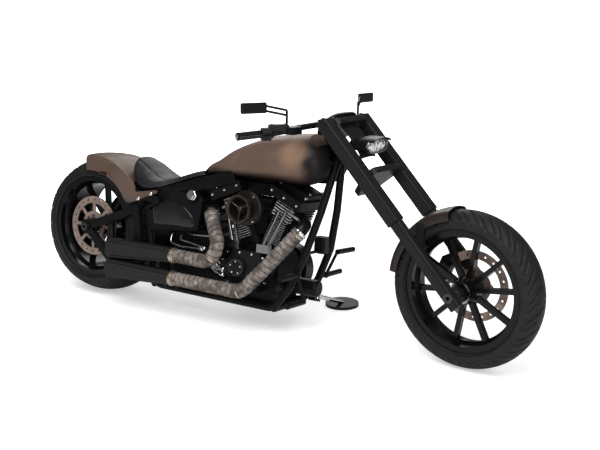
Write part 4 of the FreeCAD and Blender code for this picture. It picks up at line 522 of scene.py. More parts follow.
class Shape:
    """A mesh under way: grids of points, joined as they come, with their own UV map."""

    def __init__(self) -> None:
        """Starts empty."""
        self.points: list[Array] = []
        self.loops: list[Array] = []
        self.totals: list[Array] = []
        self.uvs: list[Array] = []
        self.count = 0

    def extend(self, batch: Array, faces: Array, uv: Array) -> "Shape":
        """Adds copies of one patch.

        Args:
            batch: the points of each copy, as an array (copies, points, 3).
            faces: the corners of each face, as an array (faces, corners).
            uv: the UV place of each corner, as an array (faces, corners, 2).

        Returns:
            The shape itself.
        """
        copies, points = batch.shape[:2]
        shifts = self.count + np.arange(copies) * points
        self.loops.append((faces[None] + shifts[:, None, None]).ravel())
        self.totals.append(np.full(copies * faces.shape[0], faces.shape[1]))
        self.uvs.append(np.tile(uv.reshape(-1, 2), (copies, 1)))
        self.points.append(batch.reshape(-1, 3))
        self.count += copies * points
        return self

    def grid(self, points: Array, round_u: bool = False, round_v: bool = False,
             flip: bool = False, span: Pair = (1.0, 1.0)) -> "Shape":
        """Adds one grid, or a batch of grids, as quads.

        Args:
            points: an array (..., u, v, 3); leading axes are copies.
            round_u: whether the last row joins the first.
            round_v: whether the last column joins the first.
            flip: whether the faces turn the other way.
            span: what the UV map reaches at the far end of u and of v.

        Returns:
            The shape itself.
        """
        points = np.asarray(points, float)
        rows, columns = points.shape[-3:-1]
        batch = points.reshape(-1, rows * columns, 3)
        u = np.arange(rows if round_u else rows - 1)
        v = np.arange(columns if round_v else columns - 1)
        uu, vv = (part.ravel() for part in np.meshgrid(u, v, indexing="ij"))
        corners = [(0, 0), (1, 0), (1, 1), (0, 1)]
        if flip:
            corners = corners[::-1]
        quads = np.stack([((uu + du) % rows) * columns + (vv + dv) % columns
                          for du, dv in corners], axis=-1)
        scale_u = span[0] / (rows if round_u else rows - 1)
        scale_v = span[1] / (columns if round_v else columns - 1)
        uv = np.stack([np.stack([(uu + du) * scale_u, (vv + dv) * scale_v], axis=-1)
                       for du, dv in corners], axis=1)
        return self.extend(batch, quads, uv)

    def cap(self, ring: Array, flip: bool = False) -> "Shape":
        """Closes a ring, or a batch of rings, with one flat face each.

        Args:
            ring: an array (..., n, 3) of points round the edge.
            flip: whether the face turns the other way.

        Returns:
            The shape itself.
        """
        ring = np.asarray(ring, float)
        sides = ring.shape[-2]
        batch = ring.reshape(-1, sides, 3)
        order = np.arange(sides)[::-1] if flip else np.arange(sides)
        return self.extend(batch, order[None], np.zeros((1, sides, 2)))

    def closed(self, points: Array, span: Pair = (1.0, 1.0)) -> "Shape":
        """Adds a grid that is round in v, with a flat face over each end of u."""
        points = np.asarray(points, float)
        self.grid(points, round_v=True, span=span)
        return self.cap(points[..., 0, :, :]).cap(points[..., -1, :, :], flip=True)

    def slab(self, front: Array, back: Array) -> "Shape":
        """Adds a sheet with thickness: its two faces and a strip along each of its edges."""
        self.grid(front).grid(back, flip=True)
        for edge in (0, -1):
            self.grid(np.stack([front[edge], back[edge]]))
            self.grid(np.stack([front[:, edge], back[:, edge]]))
        return self

    def mesh(self, name: str, sharp: float = SHARP, weld: float = WELD) -> bpy.types.Mesh:
        """Builds the mesh, welded and smooth but for its sharp edges.

        Args:
            name: the mesh's name.
            sharp: the angle in degrees past which an edge stays sharp.
            weld: the distance under which points are merged.

        Returns:
            The mesh.
        """
        mesh = bpy.data.meshes.new(name)
        points = np.concatenate(self.points)
        loops, totals = np.concatenate(self.loops), np.concatenate(self.totals)
        mesh.vertices.add(len(points))
        mesh.vertices.foreach_set("co", points.astype(np.float32).ravel())
        mesh.loops.add(len(loops))
        mesh.loops.foreach_set("vertex_index", loops.astype(np.int32))
        mesh.polygons.add(len(totals))
        starts = np.concatenate([[0], np.cumsum(totals)[:-1]])
        mesh.polygons.foreach_set("loop_start", starts.astype(np.int32))
        mesh.update(calc_edges=True)
        layer = mesh.uv_layers.new(name="UVMap")
        layer.data.foreach_set("uv", np.concatenate(self.uvs).astype(np.float32).ravel())
        mesh.validate()
        self.weld(mesh, weld)
        mesh.polygons.foreach_set("use_smooth", np.ones(len(mesh.polygons), bool))
        mesh.set_sharp_from_angle(angle=math.radians(sharp))
        return mesh

    def piece(self, name: str, body: Body, finish: Finish, replaces: Iterable[str] = (),
              sharp: float = SHARP, weld: float = WELD) -> bpy.types.Object:
        """Puts the shape in the scene as a piece that rides on a body.

        Args:
            name: the piece's name.
            body: the body that it moves with.
            finish: its finish.
            replaces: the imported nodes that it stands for.
            sharp: the angle in degrees past which an edge stays sharp.
            weld: the distance under which points are merged.

        Returns:
            The piece.
        """
        mesh = self.mesh(name.replace("_", " "), sharp, weld)
        piece = bpy.data.objects.new(name, mesh)
        bpy.context.scene.collection.objects.link(piece)
        mesh.materials.append(finishes.material(finish))
        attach(piece, body.value)
        if replaces:
            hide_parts(*replaces)
        log.info("%s: %d faces on %s", name, len(mesh.polygons), body.value)
        return piece

    @staticmethod
    def weld(mesh: bpy.types.Mesh, distance: float) -> None:
        """Merges doubled points and turns all faces outwards."""
        work = bmesh.new()
        work.from_mesh(mesh)
        bmesh.ops.remove_doubles(work, verts=work.verts, dist=distance)
        bmesh.ops.recalc_face_normals(work, faces=work.faces)
        work.to_mesh(mesh)
        work.free()


class Finishes:
    """Makes each finish's material once."""

    def __init__(self) -> None:
        """Starts with none made."""
        self.made: dict[str, bpy.types.Material] = {}

    def material(self, finish: Finish) -> bpy.types.Material:
        """The material of a finish, made at its first use."""
        if finish.name not in self.made:
            self.made[finish.name] = finish.make()
        return self.made[finish.name]

    def dress(self, finish: Finish, *nodes: str) -> None:
        """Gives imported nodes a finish."""
        for node in nodes:
            mesh = frame["nodes"][node].data
            mesh.materials.clear()
            mesh.materials.append(self.material(finish))


finishes = Finishes()

SATIN_BLACK = Finish("satin black", Slot.PAINT_BLACK, (0.004, 0.004, 0.0045), 0.36,
                     specular=0.10)
FORK_BLACK = Finish("fork black", Slot.PAINT_BLACK, (0.0095, 0.0085, 0.0092), 0.42,
                    specular=0.17, mottle=0.08)
WHEEL_BLACK = Finish("wheel black", Slot.WHEEL_BLACK, (0.003, 0.003, 0.0033), 0.19,
                     specular=0.20, gloss_spread=0.03)
RUBBER = Finish("tyre rubber", Slot.TYRE, (0.0105, 0.0105, 0.011), 0.56, specular=0.19,
                mottle=0.2, mottle_scale=26.0, grain_scale=700.0, grain_depth=0.00008)
ROTOR_STEEL = Brushed("rotor steel", Slot.ROTOR, (0.33, 0.25, 0.21), 0.42, metallic=0.75,
                      mottle=0.25, mottle_scale=30.0, grain_depth=0.00004)
AXLE_STEEL = Finish("axle steel", Slot.AXLE, (0.05, 0.05, 0.052), 0.35, metallic=0.8)
ENGINE_BLACK = Finish("crackle black", Slot.ENGINE_BLACK, (0.003, 0.003, 0.0035), 0.46,
                      specular=0.13, grain_scale=1400.0, grain_depth=0.00009)
ENGINE_SATIN = Finish("engine satin", Slot.ENGINE_BLACK, (0.004, 0.004, 0.0045), 0.32,
                      specular=0.18, grain_scale=800.0, grain_depth=0.00003)
FRONT_FINS = FinEdges("front fins", Slot.ENGINE_BLACK, (0.0035, 0.0035, 0.004), 0.45,
                      specular=0.12)
REAR_FINS = replace(FRONT_FINS, name="rear fins", lean=-BANK_ANGLE)
CHROME = Finish("chrome", Slot.CHROME, (0.72, 0.72, 0.73), 0.08, metallic=1.0, mottle=0.03,
                grain_depth=0.000002, gloss_spread=0.03)
CLEANER_BLACK = Finish("air cleaner black", Slot.ENGINE_BLACK, (0.006, 0.0042, 0.0038), 0.34,
                       specular=0.18)
# Rear fender and its panels: darker towards the bottom, which is painted shade
BRONZE_PLAIN = AirbrushedPaint(
    "bronze paint", Slot.PAINT_BRONZE, (0.086, 0.057, 0.043), 0.46, metallic=0.15, specular=0.22,
    mottle=0.06, mottle_scale=5.0, coat=0.04, fades=(Fade(rig.bike, 2, 0.500, 0.455, 0.012),))
# Tank: airbrushed black at its front, painted shade along its lower edge and a painted highlight on
# its right side
TANK_PAINT = AirbrushedPaint(
    "tank paint", Slot.PAINT_BRONZE, (0.108, 0.071, 0.053), 0.44, metallic=0.15, specular=0.15,
    mottle=0.06, mottle_scale=5.0, coat=0.04, dark=(0.006, 0.0045, 0.005), strength=0.985,
    glow=(0.40, 0.255, 0.17), highlight_at=(1.158, -0.165, 0.790), highlight_reach=0.095,
    fades=(Fade(rig.bike, 0, 1.192, 1.242, 0.018), Fade(rig.bike, 2, 0.706, 0.662, 0.006)))
FRONT_FENDER_PAINT = AirbrushedPaint(
    "front fender paint", Slot.PAINT_BRONZE, (0.018, 0.0122, 0.0100), 0.38, specular=0.24,
    mottle=0.06, mottle_scale=5.0, coat=0.05, glow=(0.045, 0.030, 0.024),
    fades=(Fade(rig.front_wheel, 0, 0.02, 0.14, 0.02),))
WRAP_CLOTH = WoundCloth("header wrap", Slot.WRAP, (0.106, 0.088, 0.078), 0.9, specular=0.2,
                        grain_depth=0.0004)
MUFFLER_BLACK = Finish("muffler black", Slot.MUFFLER, (0.013, 0.011, 0.0125), 0.52,
                       specular=0.22, grain_scale=1200.0, grain_depth=0.00006)
BELT_RUBBER = Finish("belt rubber", Slot.BELT, (0.005, 0.005, 0.005), 0.7, specular=0.12)
LEATHER = Finish("seat leather", Slot.LEATHER, (0.0105, 0.0098, 0.0118), 0.46, specular=0.26,
                 grain_scale=420.0, grain_depth=0.00025)
GRIP_RUBBER = Finish("grip rubber", Slot.GRIP, (0.006, 0.006, 0.006), 0.6, specular=0.14)
BLACK_PLASTIC = Finish("black plastic", Slot.PLASTIC, (0.0045, 0.0045, 0.005), 0.36, specular=0.2)
BRAID = Finish("steel braid", Slot.BRAID, (0.55, 0.55, 0.54), 0.3, metallic=1.0,
               grain_scale=1500.0, grain_depth=0.0002)
DARK_CHROME = Finish("dark chrome", Slot.CHROME, (0.30, 0.30, 0.31), 0.18, metallic=1.0,
                     mottle=0.05, grain_depth=0.000004)
STRAP_STEEL = Finish("strap steel", Slot.CHROME, (0.42, 0.36, 0.28), 0.36, metallic=0.9)
BELL_EDGE = Finish("bell edge", Slot.ENGINE_BLACK, (0.024, 0.0165, 0.0135), 0.30, specular=0.3)
HOOD_BLACK = Finish("hood black", Slot.PAINT_BLACK, (0.020, 0.019, 0.020), 0.34, specular=0.3)
WELT = Finish("seat welt", Slot.LEATHER, (0.014, 0.014, 0.015), 0.5)
BRIGHT_LINE = Finish("bright line", Slot.CHROME, (0.62, 0.62, 0.63), 0.22, metallic=1.0)
GLOSS_BLACK = Finish("gloss black", Slot.PAINT_BLACK, (0.005, 0.005, 0.006), 0.22,
                     specular=0.3, coat=0.2)
# Lamp glass: its near white colour is a painted reflection of the reflector behind it
LAMP_GLASS = LampGlass("lamp glass", Slot.LENS, (0.92, 0.93, 0.95), 0.08, metallic=0.25,
                       coat=1.0, grain_depth=0.0)
LAMP_RED = Finish("lamp red", Slot.LAMP_RED, (0.022, 0.0025, 0.0025), 0.16, specular=0.3)
TUBE_CHROME = Finish("tube chrome", Slot.CHROME, (0.30, 0.30, 0.31), 0.20, metallic=1.0)


def dress_nodes() -> None:
    """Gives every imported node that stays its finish."""
    rules = [
        (SATIN_BLACK, "frame_spine", "frame_cradle", "swingarm", "oil_tank",
         "ignition_coil", "oil_filter", "foot_controls", "fender_struts"),
        (FORK_BLACK, "fork_leg_right", "fork_leg_left", "lower_tree", "upper_tree",
         "fender_stays"),
        (WHEEL_BLACK, "front_rim", "rear_rim", "rear_pulley"),
        (RUBBER, "front_tyre", "rear_tyre"),
        (ROTOR_STEEL, "front_rotor", "rear_rotor"),
        (AXLE_STEEL, "front_axle", "rear_axle"),
        (ENGINE_BLACK, "crankcase", "gearbox", "rocker_covers"),
        (ENGINE_SATIN, "cam_cover", "primary_cover", "intake", "front_caliper",
         "rear_caliper"),
        (CLEANER_BLACK, "air_cleaner"),
        (FRONT_FINS, "cylinder_front"),
        (REAR_FINS, "cylinder_rear"),
        (TUBE_CHROME, "pushrod_tubes"),
        (CHROME, "stand_leg"),
        (BRONZE_PLAIN, "rear_fender"),
        (TANK_PAINT, "fuel_tank"),
        (FRONT_FENDER_PAINT, "front_fender"),
        (ENGINE_SATIN, "front_header", "rear_header"),
        (MUFFLER_BLACK, "mufflers"),
        (BELT_RUBBER, "drive_belt"),
        (LEATHER, "seat"),
        (GRIP_RUBBER, "grips"),
        (BLACK_PLASTIC, "hand_controls", "mirrors", "handlebar", "headlight_shell",
         "stand_foot"),
        (LAMP_GLASS, "headlight_lens"),
        (BRAID, "oil_lines"),
        (LAMP_RED, "rear_lights"),
    ]
    for finish, *nodes in rules:
        finishes.dress(finish, *nodes)


# Forms that the pieces share
BEND_SHARE = 0.45
ARC_STEPS = 12
BLOCK_CORNER = 0.12
UV_METRE = 0.1
SCREW_GAP = 0.0005
NUT_SIDES = 6
STEEP = 0.9
SKEW = np.array([0.31, 0.52, 0.79])


def resampled(path: Array, step: float) -> Array:
    """Spaces points evenly along a path.

    Args:
        path: rows of points.
        step: the wanted spacing.

    Returns:
        The path with even spacing.
    """
    runs = np.linalg.norm(np.diff(path, axis=0), axis=1)
    lengths = np.concatenate([[0.0], np.cumsum(runs)])
    count = max(2, int(round(lengths[-1] / step)) + 1)
    places = np.linspace(0.0, lengths[-1], count)
    return np.stack([np.interp(places, lengths, column) for column in path.T], axis=1)


def rounded_path(points: Sequence[Sequence[float]], bend: float, step: float) -> Array:
    """Straight runs through points joined by tangent arcs, as in the part's source.

    Args:
        points: the corners of the path.
        bend: the radius of the arcs, where they fit.
        step: the spacing of the result.

    Returns:
        Evenly spaced points along the path.
    """
    corners = np.asarray(points, float)
    runs = [corners[:1]]
    for before, corner, after in zip(corners, corners[1:], corners[2:]):
        into, out = corner - before, after - corner
        limit = BEND_SHARE * min(np.linalg.norm(into), np.linalg.norm(out))
        into, out = unit(into), unit(out)
        half = math.acos(float(np.clip(into @ out, -1.0, 1.0))) / 2
        reach = min(bend * math.tan(half), limit)
        radius = reach / math.tan(half)
        centre = corner + unit(out - into) * radius / math.cos(half)
        start = corner - into * reach - centre
        normal = unit(np.cross(into, out))
        angles = np.linspace(0.0, 2 * half, ARC_STEPS)
        runs.append(np.array([centre + turned(start, normal, angle) for angle in angles]))
    runs.append(corners[-1:])
    return resampled(np.concatenate(runs), step)


def carried_sides(path: Array) -> tuple[Array, Array]:
    """Two directions across a path at each point, carried along it without twist."""
    ways = unit(np.gradient(path, axis=0))
    side = unit(np.cross(ways[0], SKEW))
    sides = []
    for way in ways:
        side = unit(side - way * (side @ way))
        sides.append(side)
    first = np.array(sides)
    return first, np.cross(ways, first)


def smooth_columns(places: Array, values: Array, at: Array) -> Array:
    """Smooth interpolation through a column of a table, by cubic runs with mean slopes.

    Args:
        places: where the values stand, rising.
        values: the column's values there.
        at: the places to read.

    Returns:
        The value at each place.
    """
    slopes = np.gradient(values, places)
    index = np.clip(np.searchsorted(places, at) - 1, 0, len(places) - 2)
    width = places[index + 1] - places[index]
    t = (at - places[index]) / width
    first, second = values[index], values[index + 1]
    rise_first, rise_second = width * slopes[index], width * slopes[index + 1]
    return ((2 * t ** 3 - 3 * t ** 2 + 1) * first + (t ** 3 - 2 * t ** 2 + t) * rise_first
            + (3 * t ** 2 - 2 * t ** 3) * second + (t ** 3 - t ** 2) * rise_second)


def superellipse(steps: int, power: float) -> tuple[Array, Array]:
    """Points round the curve where the two coordinates' powers add up to one."""
    across, up = np.cos(around(steps)), np.sin(around(steps))
    reach = (np.abs(across) ** power + np.abs(up) ** power) ** (-1 / power)
    return across * reach, up * reach


def swept(path: Array, radii: Array | float, sides: int = 16) -> Array:
    """Rings round a path.

    Args:
        path: rows of points.
        radii: one radius, one for each point, or one for each point and side.
        sides: the number of points of a ring.

    Returns:
        The rings as an array (points, sides, 3).
    """
    first, second = carried_sides(path)
    angles = around(sides)
    radii = np.asarray(radii, float)
    if radii.ndim == 1:
        radii = radii[:, None]
    round_way = (np.cos(angles)[:, None] * first[:, None] + np.sin(angles)[:, None]
                 * second[:, None])
    return path[:, None] + round_way * (np.ones((len(path), sides)) * radii)[..., None]


def ring_points(centre: Array | Sequence[float], radius: float, angles: Array) -> Array:
    """Points on a circle round a centre, in the plane of the first and third axes."""
    ring = np.stack([np.cos(angles), np.zeros_like(angles), np.sin(angles)], axis=-1)
    return ring * radius + centre


def turnings(profile: Profile, centres: Array, ways: Array, sides: int = 20) -> Array:
    """Spins one profile about many axes.

    Args:
        profile: radius and height of each point of the profile.
        centres: where the forms stand.
        ways: the direction in which each form rises.
        sides: the number of points of a ring.

    Returns:
        The rings as an array (forms, profile, sides, 3).
    """
    centres = np.atleast_2d(np.asarray(centres, float))
    ways = unit(np.atleast_2d(np.asarray(ways, float)))
    ways = np.broadcast_to(ways, centres.shape)
    helper = np.where(np.abs(ways[:, 2:]) < STEEP, UP, AHEAD)
    across = unit(np.cross(helper, ways))
    up = np.cross(ways, across)
    angles = around(sides)
    spin = (np.cos(angles)[None, :, None] * across[:, None]
            + np.sin(angles)[None, :, None] * up[:, None])
    form = np.asarray(profile, float)
    return (centres[:, None, None] + form[None, :, None, 1:] * ways[:, None, None]
            + form[None, :, None, :1] * spin[:, None])


def block(foot: Point, size: Point, along: Array = LEFT) -> Array:
    """A block with a softened top: four corners at the foot, below the top and at the top.

    Args:
        foot: the middle of its underside.
        size: width, length and height.
        along: the level unit direction of its length.

    Returns:
        The rings as an array (levels, 4, 3).
    """
    across = np.array([along[1], -along[0], 0.0])
    levels = []
    for height, share in ((0.0, 1.0), (1.0 - BLOCK_CORNER, 1.0), (1.0, 1.0 - BLOCK_CORNER)):
        middle = np.asarray(foot) + [0.0, 0.0, size[2] * height]
        wide, long = across * size[0] * share, along * size[1] * share
        levels.append([middle + wide * a + long * b
                       for a, b in ((-0.5, -0.5), (0.5, -0.5), (0.5, 0.5), (-0.5, 0.5))])
    return np.array(levels)


def node_points(node: str, place: Place) -> Array:
    """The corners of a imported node's mesh, in a frame of the motorcycle."""
    mesh = frame["nodes"][node].data
    points = np.empty(len(mesh.vertices) * 3, np.float32)
    mesh.vertices.foreach_get("co", points)
    return place.local(points.reshape(-1, 3))


class Screw(Enum):
    """Profiles of screw heads, as shares of the head's radius."""

    SOCKET = ((1.0, 0.0), (1.0, 0.85), (0.9, 1.0), (0.55, 1.0), (0.5, 0.55), (0.0, 0.5))
    DOME = ((1.0, 0.0), (0.95, 0.3), (0.75, 0.55), (0.4, 0.7), (0.0, 0.75))
    NUT = ((1.2, 0.0), (1.2, 0.12), (1.0, 0.14), (1.0, 0.8), (0.86, 0.95), (0.0, 0.95))


@dataclass(frozen=True)
class Screws:
    """Screws of one kind and finish on one body."""

    name: str
    place: Place
    body: Body
    finish: Finish
    radius: float
    kind: Screw = Screw.SOCKET
    round_sides: int = 14

    def add(self, centres: Array, ways: Array) -> None:
        """Adds the screws as one piece.

        Args:
            centres: where the heads sit, in the place's frame.
            ways: the directions that the heads face, or one for all.
        """
        profile = [(r * self.radius, h * self.radius) for r, h in self.kind.value]
        sides = NUT_SIDES if self.kind is Screw.NUT else self.round_sides
        rings = turnings(profile, self.place.world(centres), self.place.way(ways), sides)
        Shape().closed(rings).piece(self.name, self.body, self.finish, weld=CLOSE_WELD)


@dataclass(frozen=True)
class Lathe:
    """One or more alike forms, each a profile of radius and height spun about its own axis."""

    name: str
    body: Body
    finish: Finish
    profile: Profile
    sides: int = 48
    capped: bool = True

    def add(self, place: Place, centres: Array | Sequence, ways: Array | Sequence) -> None:
        """Adds the forms as one piece.

        Args:
            place: the frame that the centres and ways are in.
            centres: where the forms stand, or one place.
            ways: the directions in which they rise, or one for all.
        """
        rings = turnings(self.profile, place.world(centres), place.way(ways), self.sides)
        shape = Shape()
        if self.capped:
            shape.closed(rings)
        else:
            shape.grid(rings, round_v=True)
        shape.piece(self.name, self.body, self.finish)


# Wheels
@dataclass(frozen=True)
class Tyre:
    """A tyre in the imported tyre's own section, with cut tread and raised sidewall rings."""

    node: str
    body: Body
    place: Place
    shoulder: float
    pitches: int
    bend: float
    round_steps: int = 1080
    section_steps: int = 73
    groove_width: float = 0.0062
    groove_depth: float = 0.0048
    base: float = 0.2300
    base_margin: float = 0.004
    core: float = 0.03
    grooves: tuple[tuple[float, float, float], ...] = ((0.0, 0.10, 0.98), (0.42, 0.46, 1.04))
    bend_power: float = 1.4
    gap_share: float = 0.32
    widths: Pair = (0.55, 0.5)
    wall: float = 0.0012
    run_out: float = 0.03
    crown_depth: float = 0.06
    ring_range: Pair = (0.248, 0.276)
    ring_middle: float = 0.262
    ring_pitch: float = 0.0045
    ring_height: float = 0.0005

    def section(self) -> Array:
        """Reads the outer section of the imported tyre, in order of angle round its core.

        Returns:
            Rows of (radius, y), evenly spaced from bead to bead.
        """
        points = node_points(self.node, self.place)
        pairs = np.stack([np.hypot(points[:, 0], points[:, 2]), points[:, 1]], axis=1)
        pairs = np.unique(np.round(pairs, decimals=4), axis=0)
        pairs = pairs[pairs[:, 0] > self.base + self.base_margin]
        middle = (pairs[:, 0].min() + pairs[:, 0].max()) / 2
        order = np.argsort(np.arctan2(pairs[:, 0] - middle + self.core, pairs[:, 1]))
        ring = pairs[order]
        return resampled(ring, np.linalg.norm(np.diff(ring, axis=0), axis=1).sum()
                         / (self.section_steps - 1))

    def cut(self, angle: Array, across: Array) -> Array:
        """How deep the tread is cut, from 0 to 1.

        Each row of grooves repeats at the pitch, half a pitch apart on the two sides, and
        trails by the bend times a power of the place across. A groove is as deep as the place
        lies within its width, over a narrow wall, and fades out at its two ends.

        Args:
            angle: the place round the wheel in radians.
            across: the place across the crown, from -1 to 1 between the shoulders.

        Returns:
            The depth at each place.
        """
        out = np.abs(across)
        shift = np.where(across > 0, 0.5, 0.0)
        sweep = self.bend * out ** self.bend_power
        pitch = FULL_TURN / self.pitches
        total = np.zeros_like(out)
        for offset, start, end in self.grooves:
            phase = angle / pitch + sweep + shift + offset
            gap = np.abs(phase - np.round(phase)) * pitch * self.gap_share
            wide = self.groove_width * (self.widths[0] + self.widths[1] * out)
            edge = np.clip((wide - gap) / self.wall, 0.0, 1.0)
            window = (np.clip((out - start) / self.run_out, 0, 1)
                      * np.clip((end - out) / self.run_out, 0, 1))
            total = np.maximum(total, edge * window)
        return total

    def add(self) -> None:
        """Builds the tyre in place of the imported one.

        Every point of the section goes round the axle, moved in along the section's normal by
        the tread's depth there, and out by the sidewall's rings.
        """
        section = self.section()
        angles = around(self.round_steps)
        across = section[:, 1] / (self.shoulder / 2)
        crown = section[:, 0] > section[:, 0].max() - self.crown_depth
        depth = self.cut(*np.meshgrid(angles, across, indexing="ij")) * crown
        rings = np.cos((section[:, 0] - self.ring_middle) / self.ring_pitch) * self.ring_height
        low, high = self.ring_range
        rings = np.where((section[:, 0] > low) & (section[:, 0] < high), rings, 0.0)
        slope = np.gradient(section, axis=0)
        normal = unit(np.stack([slope[:, 1], -slope[:, 0]], axis=1))
        if normal[len(normal) // 2, 0] < 0:
            normal = -normal
        drop = depth * self.groove_depth - rings
        radius = section[None, :, 0] - drop * normal[None, :, 0]
        y = section[None, :, 1] - drop * normal[None, :, 1]
        points = np.stack([np.cos(angles)[:, None] * radius, y,
                           np.sin(angles)[:, None] * radius], axis=-1)
        shape = Shape().grid(self.place.world(points), round_u=True)
        shape.piece(self.node + "_tread", self.body, RUBBER, [self.node], sharp=50.0)


@dataclass(frozen=True)
class WheelTrim:
    """A wheel's ring of rotor screws and its hub's bright bearing rings."""

    name: str
    body: Body
    place: Place
    rotor_face: float
    hub_face: float
    screw_ring: float = 0.050
    screw_count: int = 8
    screw_radius: float = 0.0055
    bearing: Profile = ((0.046, 0.0), (0.046, 0.003), (0.038, 0.004), (0.036, 0.001))

    def add(self) -> None:
        """Adds the trim."""
        way = math.copysign(1.0, self.rotor_face)
        on_rotor = ring_points(LEFT * self.rotor_face, self.screw_ring, around(self.screw_count))
        Screws(self.name + "_rotor_screws", self.place, self.body, AXLE_STEEL,
               self.screw_radius).add(on_rotor, LEFT * way)
        ways = np.array([RIGHT, LEFT])
        Lathe(self.name + "_bearing_rings", self.body, DARK_CHROME, self.bearing, sides=40,
              capped=False).add(self.place, ways * self.hub_face, ways)


# Exhaust
@dataclass(frozen=True)
class Wrap:
    """Heat wrap wound over a header in lapped turns, with a strap at each end."""

    name: str
    points: tuple[Point, ...]
    start: float
    end: float
    radius: float = 0.0295
    lap: float = 0.0022
    pitch: float = 0.026
    bend: float = 0.085
    step: float = 0.0022
    sides: int = 36
    strap_wide: float = 0.009
    clamp_steps: int = 4
    strap_lift: float = 0.0012
    clamp_lift: float = 0.004
    rise: float = 1.15
    drop: float = 9.0
    ripple: float = 0.0003
    ripple_rate: float = 900.0
    ripple_count: int = 3

    def add(self) -> None:
        """Adds the wound cloth and its straps.

        The cloth's height is a saw wave along the header, which starts later from side to side
        and so winds round: it climbs by the rise, and drops steeply at the lap.
        """
        path = rig.bike.world(rounded_path(self.points, self.bend, self.step))
        first, last = int(len(path) * self.start), int(len(path) * self.end)
        run = path[first:last]
        along = np.arange(len(run)) * self.step
        turn = np.arange(self.sides) / self.sides
        saw = (along[:, None] / self.pitch - turn[None]) % 1.0
        lift = self.lap * np.minimum(saw * self.rise, (1.0 - saw) * self.drop).clip(0.0, 1.0)
        ripple = self.ripple * np.sin(along[:, None] * self.ripple_rate
                                      + turn[None] * FULL_TURN * self.ripple_count)
        rings = swept(run, self.radius + lift + ripple, self.sides)
        cloth = Shape().closed(rings, span=(len(run) * self.step / UV_METRE, 1.0))
        cloth.piece(self.name + "_wrap", Body.ROOT, WRAP_CLOTH, sharp=60.0)
        straps = Shape()
        half = max(1, int(self.strap_wide / self.step / 2))
        for middle in (half * 2, len(run) // 2, len(run) - half * 3):
            band = run[max(0, middle - half):middle + half + 1]
            straps.closed(swept(band, self.radius + self.lap + self.strap_lift, self.sides))
        straps.piece(self.name + "_straps", Body.ROOT, STRAP_STEEL)
        collar = path[first - self.clamp_steps:first + 1]
        ring = Shape().closed(swept(collar, self.radius + self.clamp_lift, self.sides))
        ring.piece(self.name + "_clamp", Body.ROOT, CHROME)


@dataclass(frozen=True)
class Exhaust:
    """The wrapped headers and the clamps where they enter the mufflers."""

    front: tuple[Point, ...] = ((1.182, -0.056, 0.499), (1.232, -0.130, 0.491),
                                (1.075, -0.207, 0.281), (0.980, -0.212, 0.178),
                                (0.590, -0.212, 0.178))
    rear: tuple[Point, ...] = ((0.730, -0.056, 0.499), (0.742, -0.142, 0.497),
                               (0.844, -0.208, 0.363), (0.804, -0.212, 0.283),
                               (0.590, -0.212, 0.283))
    clamp: Profile = ((0.0345, 0.0), (0.0355, 0.003), (0.0355, 0.013), (0.0345, 0.016))
    clamps: tuple[Point, ...] = ((0.592, -0.212, 0.178), (0.592, -0.212, 0.283))

    def add(self) -> None:
        """Adds the wraps and the clamps."""
        Wrap("front", self.front, start=0.13, end=0.99).add()
        Wrap("rear", self.rear, start=0.17, end=0.98).add()
        Lathe("muffler_clamps", Body.ROOT, STRAP_STEEL, self.clamp, sides=40).add(
            rig.bike, self.clamps, AHEAD)


